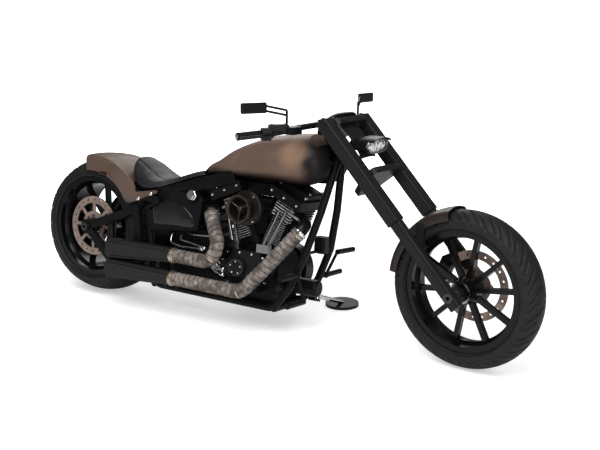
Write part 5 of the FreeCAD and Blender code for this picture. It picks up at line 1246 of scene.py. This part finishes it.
# Seat
@dataclass(frozen=True)
class Seat:
    """The padded solo seat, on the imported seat's own sections, with a welt and seams."""

    rear: float = 0.200
    front: float = 0.634
    base: float = 0.540
    rise: float = 0.160
    half: float = 0.140
    power: float = 2.6
    along_steps: int = 150
    round_steps: int = 120
    fender_radius: float = 0.3625
    wheel_height: float = 0.334
    end_power: float = 14.0
    ease_share: float = 0.5
    grain_span: Pair = (4.0, 3.0)
    seam: tuple[float, float, float] = (0.52, 0.25, 0.022)
    cross_seam: tuple[float, float, float] = (0.56, 0.08, 0.006)
    seam_depth: float = 0.0045
    puff: float = 0.0035
    welt_radius: float = 0.0028
    welt_places: Pair = (0.97, 0.53)
    welt_inset: int = 4
    sections: tuple[tuple[float, ...], ...] = (
        (0.0, 0.35, 0.86, 0.62, 0.76),
        (0.05, 0.58, 0.97, 0.36, 0.66),
        (0.12, 0.80, 0.88, 0.10, 0.50),
        (0.26, 0.96, 0.62, -0.06, 0.30),
        (0.40, 1.00, 0.42, -0.02, 0.22),
        (0.50, 0.90, 0.40, 0.08, 0.24),
        (0.65, 0.60, 0.52, 0.26, 0.39),
        (0.82, 0.42, 0.68, 0.46, 0.57),
        (1.0, 0.28, 0.80, 0.62, 0.71),
    )

    def surface(self) -> Array:
        """The cushion's rings from back to nose, in the bike frame.

        Each row of the table gives, at a share of the length, the half width, the top, the
        underside and the widest line. The ring there is a superellipse through them, and the
        rings close in to a point at both ends.
        """
        table = np.array(self.sections)
        ease = (1 - np.cos(np.linspace(0, math.pi, self.along_steps))) / 2
        even = np.linspace(0, 1, self.along_steps)
        share = ease * self.ease_share + even * (1 - self.ease_share)
        wide, high, low, middle = (smooth_columns(table[:, 0], column, share)
                                   for column in table[:, 1:].T)
        close = np.sqrt(np.clip(1 - np.abs(share * 2 - 1) ** self.end_power, 0.0, 1.0))
        across, up = superellipse(self.round_steps, self.power)
        tall = np.where(up[None] > 0, (high - middle)[:, None], (middle - low)[:, None])
        x = self.rear + (self.front - self.rear) * share
        y = (wide * close)[:, None] * self.half * across[None]
        z = self.base + self.rise * (middle[:, None] + tall * close[:, None] * up[None])
        return np.stack([np.broadcast_to(x[:, None], y.shape), y, z], axis=-1)

    def rests(self, points: Array) -> Array:
        """Lifts what would go below the rear fender out onto its skin."""
        from_axle = points[..., [0, 2]] - [0.0, self.wheel_height]
        reach = np.linalg.norm(from_axle, axis=-1, keepdims=True)
        out = np.maximum(reach, self.fender_radius) / reach
        lifted = points.copy()
        lifted[..., [0, 2]] = from_axle * out + [0.0, self.wheel_height]
        return lifted

    def add(self) -> None:
        """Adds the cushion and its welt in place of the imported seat.

        The top swells by a cosine across, and sinks by narrow bell curves along two seams and
        one cross seam.
        """
        points = self.surface()
        rows = np.linspace(0, 1, self.along_steps)[:, None]
        side = points[..., 1] / self.half
        top = np.clip(np.sin(around(self.round_steps)), 0, 1)
        start, lean, width = self.seam
        seams = np.exp(-((np.abs(side) - start + lean * rows) / width) ** 2) * top[None]
        start, lean, width = self.cross_seam
        cross = np.exp(-((rows - start + side ** 2 * lean) / width) ** 2) * top[None]
        puff = self.puff * np.cos(np.clip(side * 2, -1, 1) * math.pi / 2) * top[None]
        points[..., 2] += puff - self.seam_depth * np.maximum(seams, cross)
        points = self.rests(points)
        cushion = Shape().closed(rig.bike.world(points), span=self.grain_span)
        cushion.piece("seat_cushion", Body.ROOT, LEATHER, ["seat"], sharp=70.0)
        welt = Shape()
        for place in self.welt_places:
            edge = points[self.welt_inset:-self.welt_inset, int(self.round_steps * place)]
            welt.closed(swept(rig.bike.world(edge), self.welt_radius, sides=8))
        welt.piece("seat_welt", Body.ROOT, WELT)


# Engine
@dataclass(frozen=True)
class EngineTrim:
    """Screws, plates and fittings on the engine's right side."""

    rocker_screw: float = 0.0066
    lid_screw: float = 0.0062
    cam_screw: float = 0.0052
    points_screw: float = 0.0036
    cleaner_screw: float = 0.0045
    crank: Pair = (0.956, 0.235)
    bank_angle: float = BANK_ANGLE
    rocker_base: float = 0.372
    base_half: float = 0.118
    lid_half: float = 0.068
    base_rise: float = 0.024
    lid_rise: float = 0.058
    lid_top: float = 0.0742
    base_row: tuple[float, ...] = (-0.070, 0.0, 0.070)
    lid_row: tuple[float, ...] = (-0.072, 0.072)
    top_rows: Profile = ((-0.070, 0.070), (-0.052, 0.052))
    cam_face: float = -0.1482
    points_face: float = -0.1642
    cam_offset: Pair = (-0.008, 0.027)
    cam_places: Profile = (
        (-0.118, 0.030), (-0.092, 0.070), (-0.028, 0.076), (0.036, 0.076), (0.094, 0.068),
        (0.118, 0.022), (0.110, -0.040), (0.052, -0.074), (-0.020, -0.076), (-0.088, -0.066),
        (-0.118, -0.022))
    points_offset: Pair = (-0.046, 0.035)
    points_ring: float = 0.027
    points_count: int = 5
    points_turn: float = 0.3
    points_rim: Profile = ((0.0400, -0.014), (0.0395, -0.002), (0.0370, 0.0016), (0.0335, 0.0014),
                           (0.0320, -0.001))
    cleaner_rise: float = 0.304
    bell_face: float = -0.238
    bell_lip: Profile = ((0.060, -0.012), (0.0625, -0.004), (0.0605, 0.003), (0.055, 0.003),
                         (0.049, -0.004), (0.046, -0.012))
    hub: Profile = ((0.011, 0.0), (0.011, 0.008), (0.008, 0.011), (0.0, 0.011))
    hub_depth: float = 0.022
    leg_radius: float = 0.0035
    leg_count: int = 3
    leg_turn: float = 0.5
    leg_reach: Profile = ((0.006, 0.004), (0.050, 0.010))
    leg_steps: int = 8
    plate_face: float = -0.180
    plate_ring: float = 0.069
    plate_angles: tuple[float, ...] = (0.9, 2.5, 4.0, 5.4)
    covers: tuple[tuple[Point, Point], ...] = (
        ((0.950, 0.0, 0.590), (0.130, 0.130, 0.060)),
        ((0.645, 0.0, 0.512), (0.200, 0.150, 0.080)),
        ((0.600, 0.0, 0.370), (0.220, 0.150, 0.060)),
        ((0.465, 0.0, 0.165), (0.130, 0.150, 0.080)),
        ((0.958, 0.0, 0.415), (0.056, 0.100, 0.140)),
    )

    def bank(self, sign: float, along: float, y: float, up: float) -> Array:
        """A point of a bank: along and up its cylinder from the crank."""
        lean = self.bank_angle * sign
        return np.array([self.crank[0] + along * math.cos(lean) + up * math.sin(lean), y,
                         self.crank[1] - along * math.sin(lean) + up * math.cos(lean)])

    def rocker_screws(self) -> None:
        """The screws of the rocker covers' lids and of their bases."""
        for sign, name in ((-1.0, "rear"), (1.0, "front")):
            spots = [self.bank(sign, x, -half - SCREW_GAP, self.rocker_base + rise)
                     for half, rise, row in ((self.base_half, self.base_rise, self.base_row),
                                             (self.lid_half, self.lid_rise, self.lid_row))
                     for x in row]
            Screws(name + "_rocker_screws", rig.bike, Body.ROOT, CHROME, self.rocker_screw).add(
                spots, RIGHT)
            up = self.bank(sign, 0.0, 0.0, 1.0) - self.bank(sign, 0.0, 0.0, 0.0)
            tops = [self.bank(sign, x, y, self.rocker_base + self.lid_top)
                    for x in self.top_rows[0] for y in self.top_rows[1]]
            Screws(name + "_lid_screws", rig.bike, Body.ROOT, DARK_CHROME, self.lid_screw).add(
                tops, up)

    def modules(self) -> None:
        """The plain covers between the engine, the gearbox, the battery and the tyre."""
        shape = Shape()
        for foot, size in self.covers:
            shape.closed(rig.bike.world(block(foot, size)))
        shape.piece("engine_modules", Body.ROOT, ENGINE_BLACK)

    def cover_screws(self) -> None:
        """The screws round the cam cover and round the round plate on it."""
        x, z = np.add(self.crank, self.cam_offset)
        Screws("cam_screws", rig.bike, Body.ROOT, CHROME, self.cam_screw).add(
            [(x + dx, self.cam_face, z + dz) for dx, dz in self.cam_places], RIGHT)
        x, z = np.add(self.crank, self.points_offset)
        centre = np.array([x, self.points_face, z])
        Lathe("points_rim", Body.ROOT, AXLE_STEEL, self.points_rim, capped=False).add(
            rig.bike, centre, RIGHT)
        angles = around(self.points_count) + self.points_turn
        Screws("points_screws", rig.bike, Body.ROOT, CHROME, self.points_screw).add(
            ring_points(centre, self.points_ring, angles), RIGHT)

    def cleaner(self) -> None:
        """The bell's bright lip, its spider with the middle screw and the back plate's screws."""
        centre = np.array([self.crank[0], self.bell_face, self.crank[1] + self.cleaner_rise])
        Lathe("bell_lip", Body.ROOT, BELL_EDGE, self.bell_lip, sides=64, capped=False).add(
            rig.bike, centre, RIGHT)
        spider = Shape()
        hub = centre - RIGHT * self.hub_depth
        spider.closed(turnings(self.hub, rig.bike.world(hub), rig.bike.way(RIGHT), sides=24))
        for angle in around(self.leg_count) + self.leg_turn:
            start, end = (ring_points(hub + RIGHT * lift, reach, angle)
                          for reach, lift in self.leg_reach)
            path = rig.bike.world(np.linspace(start, end, self.leg_steps))
            spider.closed(swept(path, self.leg_radius, sides=10))
        spider.piece("bell_spider", Body.ROOT, AXLE_STEEL)
        middle = [centre[0], self.plate_face - SCREW_GAP, centre[2]]
        plate = ring_points(middle, self.plate_ring, np.array(self.plate_angles))
        Screws("cleaner_screws", rig.bike, Body.ROOT, CHROME, self.cleaner_screw).add(
            plate, RIGHT)

    def add(self) -> None:
        """Adds all of the engine's trim."""
        self.rocker_screws()
        self.cover_screws()
        self.cleaner()
        self.modules()


# Fork and bars
@dataclass(frozen=True)
class Grips:
    """Ribbed rubber grips in place of the plain imported ones."""

    start: Point = (1.1720, 0.314, 0.9055)
    end: Point = (1.0935, 0.422, 0.894)
    length: float = 0.118
    radius: float = 0.0168
    rib_pitch: float = 0.0065
    step: float = 0.0011
    rib_depth: float = 0.0009
    rib_slope: float = 2.2
    rib_share: float = 0.6
    flange: float = 0.0022
    lip: float = 0.0006
    flange_steps: int = 6
    lip_steps: int = 5
    cap: Profile = ((0.0135, 0.0), (0.0135, 0.003), (0.010, 0.006), (0.0, 0.007))

    def add(self) -> None:
        """Adds both grips and their end caps.

        The radius follows a clipped cosine along the grip, with a flange at the inner end.
        """
        shape, ends = Shape(), Shape()
        for side in (-1.0, 1.0):
            inner, outer = (np.array(point) * [1.0, side, 1.0] for point in (self.start, self.end))
            way = unit(outer - inner)
            path = resampled(np.array([outer - way * self.length, outer]), self.step)
            along = np.arange(len(path)) * self.step
            wave = np.cos(along / self.rib_pitch * FULL_TURN) * self.rib_slope + self.rib_share
            radii = self.radius - self.rib_depth * (1 - np.clip(wave, -1.0, 1.0))
            radii[:self.flange_steps] = self.radius + self.flange
            radii[-self.lip_steps:] = self.radius + self.lip
            shape.closed(swept(rig.fork.world(path), radii, sides=28))
            ends.closed(turnings(self.cap, rig.fork.world(outer), rig.fork.way(way), sides=24))
        shape.piece("ribbed_grips", Body.FORK, GRIP_RUBBER, ["grips"], sharp=40.0)
        ends.piece("bar_ends", Body.FORK, DARK_CHROME)


@dataclass(frozen=True)
class BarControls:
    """The master cylinders, the screws of their lids and the switch housings on the bar."""

    cylinder: Point = (1.205, 0.296, 0.908)
    cylinder_size: Point = (0.036, 0.080, 0.034)
    switch: Point = (1.180, 0.345, 0.880)
    switch_size: Point = (0.040, 0.036, 0.050)
    sweep: Point = (-0.58, 0.81, 0.0)
    lid_screws: Pair = (-0.028, 0.028)
    screw_radius: float = 0.0042

    def add(self) -> None:
        """Adds the controls of both sides."""
        shape, lids = Shape(), []
        for side in (-1.0, 1.0):
            flip = np.array([1.0, side, 1.0])
            along = unit(flip * self.sweep)
            for foot, size in ((self.cylinder, self.cylinder_size),
                               (self.switch, self.switch_size)):
                shape.closed(rig.fork.world(block(np.array(foot) * flip, size, along)))
            top = np.array(self.cylinder) * flip + [0.0, 0.0, self.cylinder_size[2]]
            lids += [top + along * step for step in self.lid_screws]
        shape.piece("bar_controls", Body.FORK, BLACK_PLASTIC)
        Screws("control_screws", rig.fork, Body.FORK, DARK_CHROME, self.screw_radius).add(
            lids, UP)


@dataclass(frozen=True)
class ForkTrim:
    """The yokes' screws, the legs' caps and the smooth dome between them."""

    leg_ahead: float = 0.088
    leg_top: float = 0.128
    yoke_front: float = 0.127
    leg_half: float = 0.134
    lower: float = -0.182
    upper: float = 0.078
    thickness: float = 0.028
    hood_middle: Pair = (0.052, 0.124)
    hood_half: Point = (0.070, 0.103, 0.027)
    hood_powers: Point = (0.75, 0.55, 0.7)
    hood_steps: tuple[int, int] = (14, 48)
    clamp_rows: Pair = (0.060, 0.086)
    clamp_screw: float = 0.006
    cap_radius: float = 0.012

    def add(self) -> None:
        """Adds the yokes' clamp screws in front, the caps and the dome."""
        places = [(self.yoke_front, side * y, z + self.thickness / 2)
                  for side in (-1, 1) for z in (self.lower, self.upper) for y in self.clamp_rows]
        Screws("yoke_screws", rig.head, Body.FORK, AXLE_STEEL, self.clamp_screw).add(
            places, AHEAD)
        caps = [(self.leg_ahead, side * self.leg_half, self.leg_top) for side in (-1, 1)]
        Screws("leg_caps", rig.head, Body.FORK, AXLE_STEEL, self.cap_radius, Screw.DOME).add(
            caps, UP)
        self.hood()

    def hood(self) -> None:
        """Adds the dome, a quarter of a superellipse's arc spun from the rim up to the top."""
        rows, columns = self.hood_steps
        turn, rise = np.meshgrid(around(columns), np.linspace(0.0, math.pi / 2, rows))
        ahead = np.sign(np.cos(turn)) * np.abs(np.cos(turn)) ** self.hood_powers[0]
        across = np.sign(np.sin(turn)) * np.abs(np.sin(turn)) ** self.hood_powers[1]
        reach = np.cos(rise) ** self.hood_powers[2]
        points = np.stack([self.hood_middle[0] + self.hood_half[0] * ahead * reach,
                           self.hood_half[1] * across * reach,
                           self.hood_middle[1] + self.hood_half[2] * np.sin(rise)], axis=-1)
        Shape().closed(rig.head.world(points)).piece("yoke_hood", Body.FORK, HOOD_BLACK, sharp=60.0)


# Guard, covers and lines
@dataclass(frozen=True)
class InnerGuard:
    """The curved black plate between the gearbox and the rear tyre, which stops its spray."""

    radius: float = 0.347
    thickness: float = 0.003
    half: float = 0.088
    first: float = math.radians(-38.0)
    last: float = math.radians(40.0)
    steps: int = 48

    def add(self) -> None:
        """Adds the plate: the four corners of its section, carried along an arc."""
        angles = np.linspace(self.first, self.last, self.steps)
        outer = self.radius + self.thickness
        rings = [ring_points(LEFT * y, reach, angles)
                 for reach, y in ((self.radius, -self.half), (self.radius, self.half),
                                  (outer, self.half), (outer, -self.half))]
        points = rig.rear_wheel.world(np.stack(rings, axis=1))
        Shape().closed(points).piece("inner_guard", Body.ROOT, SATIN_BLACK)


@dataclass(frozen=True)
class Plate:
    """A flat plate with soft edges that stands on one side of the motorcycle."""

    name: str
    corners: Profile
    y: float
    thickness: float
    finish: Finish
    bevel: float = 0.004
    spacing: float = 0.004
    smoothings: int = 6
    levels: Profile = ((0.0, 0.0), (0.0, 0.55), (0.35, 0.9), (1.0, 1.0))

    def add(self) -> None:
        """Adds the plate, with its edge drawn in towards its face.

        The outline's corners are softened by a moving mean, and each level gives the share of
        the bevel that it is drawn in by and the share of the thickness that it stands out by.
        """
        outline = np.array(self.corners)
        soft = resampled(np.concatenate([outline, outline[:1]]), self.spacing)[:-1]
        for _ in range(self.smoothings):
            soft = (np.roll(soft, 1, axis=0) + soft * 2 + np.roll(soft, -1, axis=0)) / 4
        middle = soft.mean(axis=0)
        away = math.copysign(1.0, self.y)
        rings = []
        span = np.linalg.norm(soft - middle, axis=1, keepdims=True)
        for inset, depth in self.levels:
            flat = middle + (soft - middle) * (1 - self.bevel * inset / span)
            y = np.full(len(flat), self.y + away * self.thickness * depth)
            rings.append(np.stack([flat[:, 0], y, flat[:, 1]], axis=1))
        Shape().closed(rig.bike.world(np.array(rings))).piece(self.name, Body.ROOT, self.finish)


@dataclass(frozen=True)
class Lines:
    """Rigid oil lines beside the gearbox, with their bright unions."""

    radius: float = 0.0042
    union: Profile = ((0.0085, -0.012), (0.0085, 0.004), (0.0068, 0.006), (0.0068, 0.014))
    bend: float = 0.022
    step: float = 0.003
    paths: tuple[tuple[Point, ...], ...] = (
        ((0.500, -0.105, 0.368), (0.503, -0.125, 0.322), (0.563, -0.125, 0.312),
         (0.690, -0.128, 0.317)),
        ((0.557, -0.105, 0.372), (0.560, -0.125, 0.342), (0.620, -0.125, 0.337),
         (0.705, -0.128, 0.324)),
        ((0.594, -0.105, 0.374), (0.640, -0.125, 0.375), (0.733, -0.125, 0.381),
         (0.765, -0.130, 0.366)),
        ((0.750, -0.140, 0.282), (0.794, -0.150, 0.258), (0.832, -0.150, 0.252)),
        ((0.745, -0.140, 0.262), (0.790, -0.150, 0.232), (0.830, -0.150, 0.226)),
    )

    def add(self) -> None:
        """Adds the lines and the unions at their front ends."""
        tubes, unions = Shape(), Shape()
        for corners in self.paths:
            path = rig.bike.world(rounded_path(corners, self.bend, self.step))
            tubes.closed(swept(path, self.radius, sides=12))
            unions.closed(turnings(self.union, path[-1], path[-1] - path[-4], sides=6))
        tubes.piece("side_lines", Body.ROOT, BRIGHT_LINE)
        unions.piece("line_unions", Body.ROOT, CHROME)


@dataclass(frozen=True)
class Bodywork:
    """What dresses the tank, the frame and the rear fender: caps, covers, plates and lines."""

    filler: Profile = ((0.034, -0.012), (0.034, 0.003), (0.030, 0.007), (0.012, 0.010),
                       (0.0, 0.010))
    filler_at: Point = (1.085, 0.0, 0.858)
    filler_way: Point = (0.05, 0.0, 1.0)
    oil_cap: Point = (0.654, -0.166, 0.562)
    oil_cap_radius: float = 0.021
    rail_cover: Profile = (
        (0.366, 0.549), (0.500, 0.588), (0.640, 0.634), (0.834, 0.690), (0.862, 0.640),
        (0.700, 0.590), (0.575, 0.552), (0.460, 0.526), (0.368, 0.502))
    relief: Profile = (
        (0.412, 0.478), (0.540, 0.522), (0.600, 0.500), (0.648, 0.462), (0.664, 0.428),
        (0.655, 0.412), (0.425, 0.402))
    panel: Profile = (
        (0.112, 0.642), (0.143, 0.597), (0.176, 0.556), (0.210, 0.520), (0.236, 0.487),
        (0.254, 0.476), (0.314, 0.496), (0.350, 0.514), (0.434, 0.545), (0.427, 0.558),
        (0.345, 0.543), (0.303, 0.534), (0.292, 0.560), (0.284, 0.580), (0.250, 0.606),
        (0.200, 0.638), (0.150, 0.663))
    panel_foot: float = 0.1430
    panel_thickness: float = 0.0095
    panel_screws: Profile = ((0.322, 0.507), (0.398, 0.538))
    panel_screw: float = 0.0105

    def panels(self) -> None:
        """Adds the panel on each side of the rear fender, with its two screws."""
        face = self.panel_foot + self.panel_thickness
        for side, name in ((-1.0, "right"), (1.0, "left")):
            Plate(name + "_fender_panel", self.panel, side * self.panel_foot,
                  self.panel_thickness, BRONZE_PLAIN).add()
            spots = [(x, side * face, z) for x, z in self.panel_screws]
            Screws(name + "_panel_screws", rig.bike, Body.ROOT, CHROME, self.panel_screw,
                   Screw.DOME).add(spots, LEFT * side)

    def add(self) -> None:
        """Adds the trim from the tank to the rear fender."""
        Lathe("filler_cap", Body.ROOT, DARK_CHROME, self.filler).add(
            rig.bike, self.filler_at, self.filler_way)
        InnerGuard().add()
        Lines().add()
        Plate("rail_cover", self.rail_cover, y=-0.1225, thickness=0.004,
              finish=SATIN_BLACK).add()
        Plate("side_panel_relief", self.relief, y=-0.1495, thickness=0.006,
              finish=GLOSS_BLACK, bevel=0.008).add()
        Screws("oil_cap", rig.bike, Body.ROOT, CHROME, self.oil_cap_radius, Screw.NUT).add(
            [self.oil_cap], RIGHT)
        self.panels()


# Lamp
@dataclass(frozen=True)
class LampMount:
    """The hooded plate between the fork legs that carries the headlight."""

    half: float = 0.056
    rows: Profile = (
        (0.050, 0.104), (0.072, 0.100), (0.086, 0.078), (0.090, 0.040), (0.088, -0.010),
        (0.080, -0.060), (0.070, -0.080))
    thickness: float = 0.004
    bow: float = 0.020
    bow_reach: float = 1.15
    step: float = 0.006
    columns: int = 21

    def add(self) -> None:
        """Adds the plate: its rows of x and z, bowed forward across by part of an ellipse."""
        row = resampled(np.array([[x, 0.0, z] for x, z in self.rows]), self.step)
        across = np.linspace(-self.half, self.half, self.columns)
        bow = self.bow * np.sqrt(1 - (across / (self.half * self.bow_reach)) ** 2)
        points = row[:, None] + np.stack([bow, across, np.zeros_like(across)], axis=1)[None]
        back = points - [self.thickness, 0.0, 0.0]
        sheet = Shape().slab(rig.head.world(points), rig.head.world(back))
        sheet.piece("lamp_mount", Body.FORK, FORK_BLACK)


@dataclass(frozen=True)
class LampTrim:
    """The headlight's hood and the bright rim round its glass."""

    node: str = "headlight_lens"
    width: float = 0.0032
    steps: int = 72
    power: float = 2.5
    ahead: float = 0.2
    gap: float = 0.0015
    hood_start: float = 0.35
    hood_rows: Profile = ((-0.040, 0.006), (0.0, 0.0052), (0.026, 0.0045))
    hood_thickness: float = 0.002

    def add(self) -> None:
        """Adds the rim round the glass's own outline, and the hood above it.

        The rim's line is a superellipse as wide and high as the glass, and the hood's rows are
        its upper part, moved back, up and forward.
        """
        points = node_points(self.node, rig.fork)
        middle = (points.min(axis=0) + points.max(axis=0)) / 2
        half = (points.max(axis=0) - points.min(axis=0)) / 2
        angles = around(self.steps)
        across, up = superellipse(self.steps, self.power)
        ring = np.stack([np.full(self.steps, middle[0] + half[0] * self.ahead),
                         middle[1] + (half[1] + self.gap) * across,
                         middle[2] + (half[2] + self.gap) * up], axis=1)
        closed = np.concatenate([ring, ring[:2]])
        rings = swept(rig.fork.world(closed), self.width, sides=10)[:-1]
        rim = Shape().grid(rings, round_v=True)
        rim.piece("lamp_rim", Body.FORK, DARK_CHROME)
        arc = ring[(angles > self.hood_start) & (angles < math.pi - self.hood_start)]
        hood = np.stack([arc + [ahead, 0.0, up] for ahead, up in self.hood_rows])
        under = hood - [0.0, 0.0, self.hood_thickness]
        shape = Shape().slab(rig.fork.world(hood), rig.fork.world(under))
        shape.piece("lamp_hood", Body.FORK, BLACK_PLASTIC)


# Everything together
def add_pieces() -> None:
    """Adds every sub-assembly's pieces, in a fixed order."""
    Tyre("front_tyre", Body.FRONT_WHEEL, rig.front_wheel, shoulder=0.130, pitches=24,
         bend=0.9).add()
    Tyre("rear_tyre", Body.REAR_WHEEL, rig.rear_wheel, shoulder=0.250, pitches=22,
         bend=1.3).add()
    WheelTrim("front", Body.FRONT_WHEEL, rig.front_wheel, rotor_face=0.067,
              hub_face=0.062).add()
    WheelTrim("rear", Body.REAR_WHEEL, rig.rear_wheel, rotor_face=-0.112, hub_face=0.107).add()
    for assembly in (Exhaust(), Seat(), EngineTrim(), Grips(), BarControls(), ForkTrim(),
                     Bodywork(), LampMount(), LampTrim()):
        assembly.add()


# Stage
@dataclass(frozen=True)
class Studio:
    """The camera at the photograph's viewpoint, the floor and plain soft light."""

    azimuth: float = math.radians(32.0856)
    elevation: float = math.radians(14.006)
    distance: float = 3.8251
    aim: Point = (1.1632, 0.0, 0.4864)
    focal_pixels: float = 887.8353
    image_width: float = 600.0
    sensor: float = 36.0
    floor_half: float = 14.0
    floor_white: Colour = (0.80, 0.80, 0.80)
    floor_roughness: float = 0.8
    floor_specular: float = 0.1
    tint_scale: float = 2.0
    tint_low: float = 0.985
    floor_glow: float = 0.42
    far_glow: float = 1.6
    sky_light: float = 0.62
    sky_shine: float = 0.16
    floor_near: float = 1.7
    floor_far: float = 3.4
    lamp_aim: Point = (0.0, 0.0, 0.45)
    lamps: tuple[tuple[str, Point, float, float], ...] = (
        ("key", (0.8, -2.6, 4.2), 3.2, 190.0),
        ("fill", (3.8, -3.4, 1.8), 2.4, 60.0),
        ("back", (-1.8, 3.4, 3.0), 3.0, 70.0),
    )

    def camera(self) -> None:
        """Stands the camera at the photograph's viewpoint, aimed with no roll."""
        data = bpy.data.cameras.new("camera")
        data.lens = self.focal_pixels / self.image_width * self.sensor
        data.sensor_width = self.sensor
        target = Vector(rig.bike.origin + np.array(self.aim))
        offset = Vector((math.sin(self.azimuth) * math.cos(self.elevation),
                         -math.cos(self.azimuth) * math.cos(self.elevation),
                         math.sin(self.elevation)))
        camera = bpy.data.objects.new("camera", data)
        camera.location = target + offset * self.distance
        camera.rotation_euler = (target - camera.location).to_track_quat("-Z", "Y").to_euler()
        bpy.context.scene.collection.objects.link(camera)
        bpy.context.scene.camera = camera

    def floor(self) -> None:
        """Lays a wide pale floor, lifted to white where the camera sees it unshaded."""
        graph = Graph(bpy.data.materials.new("pale floor"))
        graph.set(Roughness=self.floor_roughness, Specular_IOR_Level=self.floor_specular)
        tint = graph.remap(graph.noise(self.tint_scale), NOISE_LOW, NOISE_HIGH, self.tint_low, 1.0)
        graph.set(Base_Color=graph.mix(tint, (0.0, 0.0, 0.0), self.floor_white))
        seen = graph.add("LightPath").outputs["Is Camera Ray"]
        flat = graph.vector("MULTIPLY", graph.position(), (1.0, 1.0, 0.0))
        reach = graph.vector("LENGTH", flat, output="Value")
        glow = graph.remap(reach, self.floor_near, self.floor_far, self.floor_glow, self.far_glow)
        graph.set(Emission_Color=(1.0, 1.0, 1.0, 1.0),
                  Emission_Strength=graph.math("MULTIPLY", seen, glow))
        half = self.floor_half
        corners = np.array([[-half, -half, 0], [half, -half, 0], [half, half, 0], [-half, half, 0]])
        mesh = Shape().cap(corners).mesh("floor")
        floor = bpy.data.objects.new("floor", mesh)
        mesh.materials.append(graph.owner)
        bpy.context.scene.collection.objects.link(floor)

    def world(self) -> None:
        """Fills the sky with plain light: white in views, and dim in reflections."""
        graph = Graph(bpy.data.worlds.new("studio"))
        path = graph.add("LightPath").outputs
        seen = graph.math("MAXIMUM", path["Is Camera Ray"], path["Is Transmission Ray"])
        level = graph.remap(seen, 0.0, 1.0, self.sky_light, 1.0)
        shine = graph.remap(path["Is Glossy Ray"], 0.0, 1.0, level, self.sky_shine)
        graph.set(Color=(1.0, 1.0, 1.0, 1.0), Strength=shine)
        bpy.context.scene.world = graph.owner

    def lamp(self, name: str, place: Point, size: float, power: float) -> None:
        """Hangs a square soft lamp that points at the motorcycle's middle.

        Args:
            name: the lamp's name.
            place: where it hangs.
            size: the length of its side.
            power: its power in watts.
        """
        data = bpy.data.lights.new(name, "AREA")
        data.size = size
        data.energy = power
        lamp = bpy.data.objects.new(name, data)
        lamp.location = place
        aim = Vector(self.lamp_aim) - lamp.location
        lamp.rotation_euler = aim.to_track_quat("-Z", "Y").to_euler()
        bpy.context.scene.collection.objects.link(lamp)

    def build(self) -> None:
        """Makes the whole stage."""
        self.camera()
        self.floor()
        self.world()
        for lamp in self.lamps:
            self.lamp(*lamp)
        bpy.context.scene.view_settings.view_transform = "Standard"


def main() -> None:
    """Builds the stage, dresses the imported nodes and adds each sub-assembly in order."""
    logging.basicConfig(level=logging.INFO, format="%(message)s")
    Studio().build()
    dress_nodes()
    add_pieces()


if __name__ == "__main__":
    main()
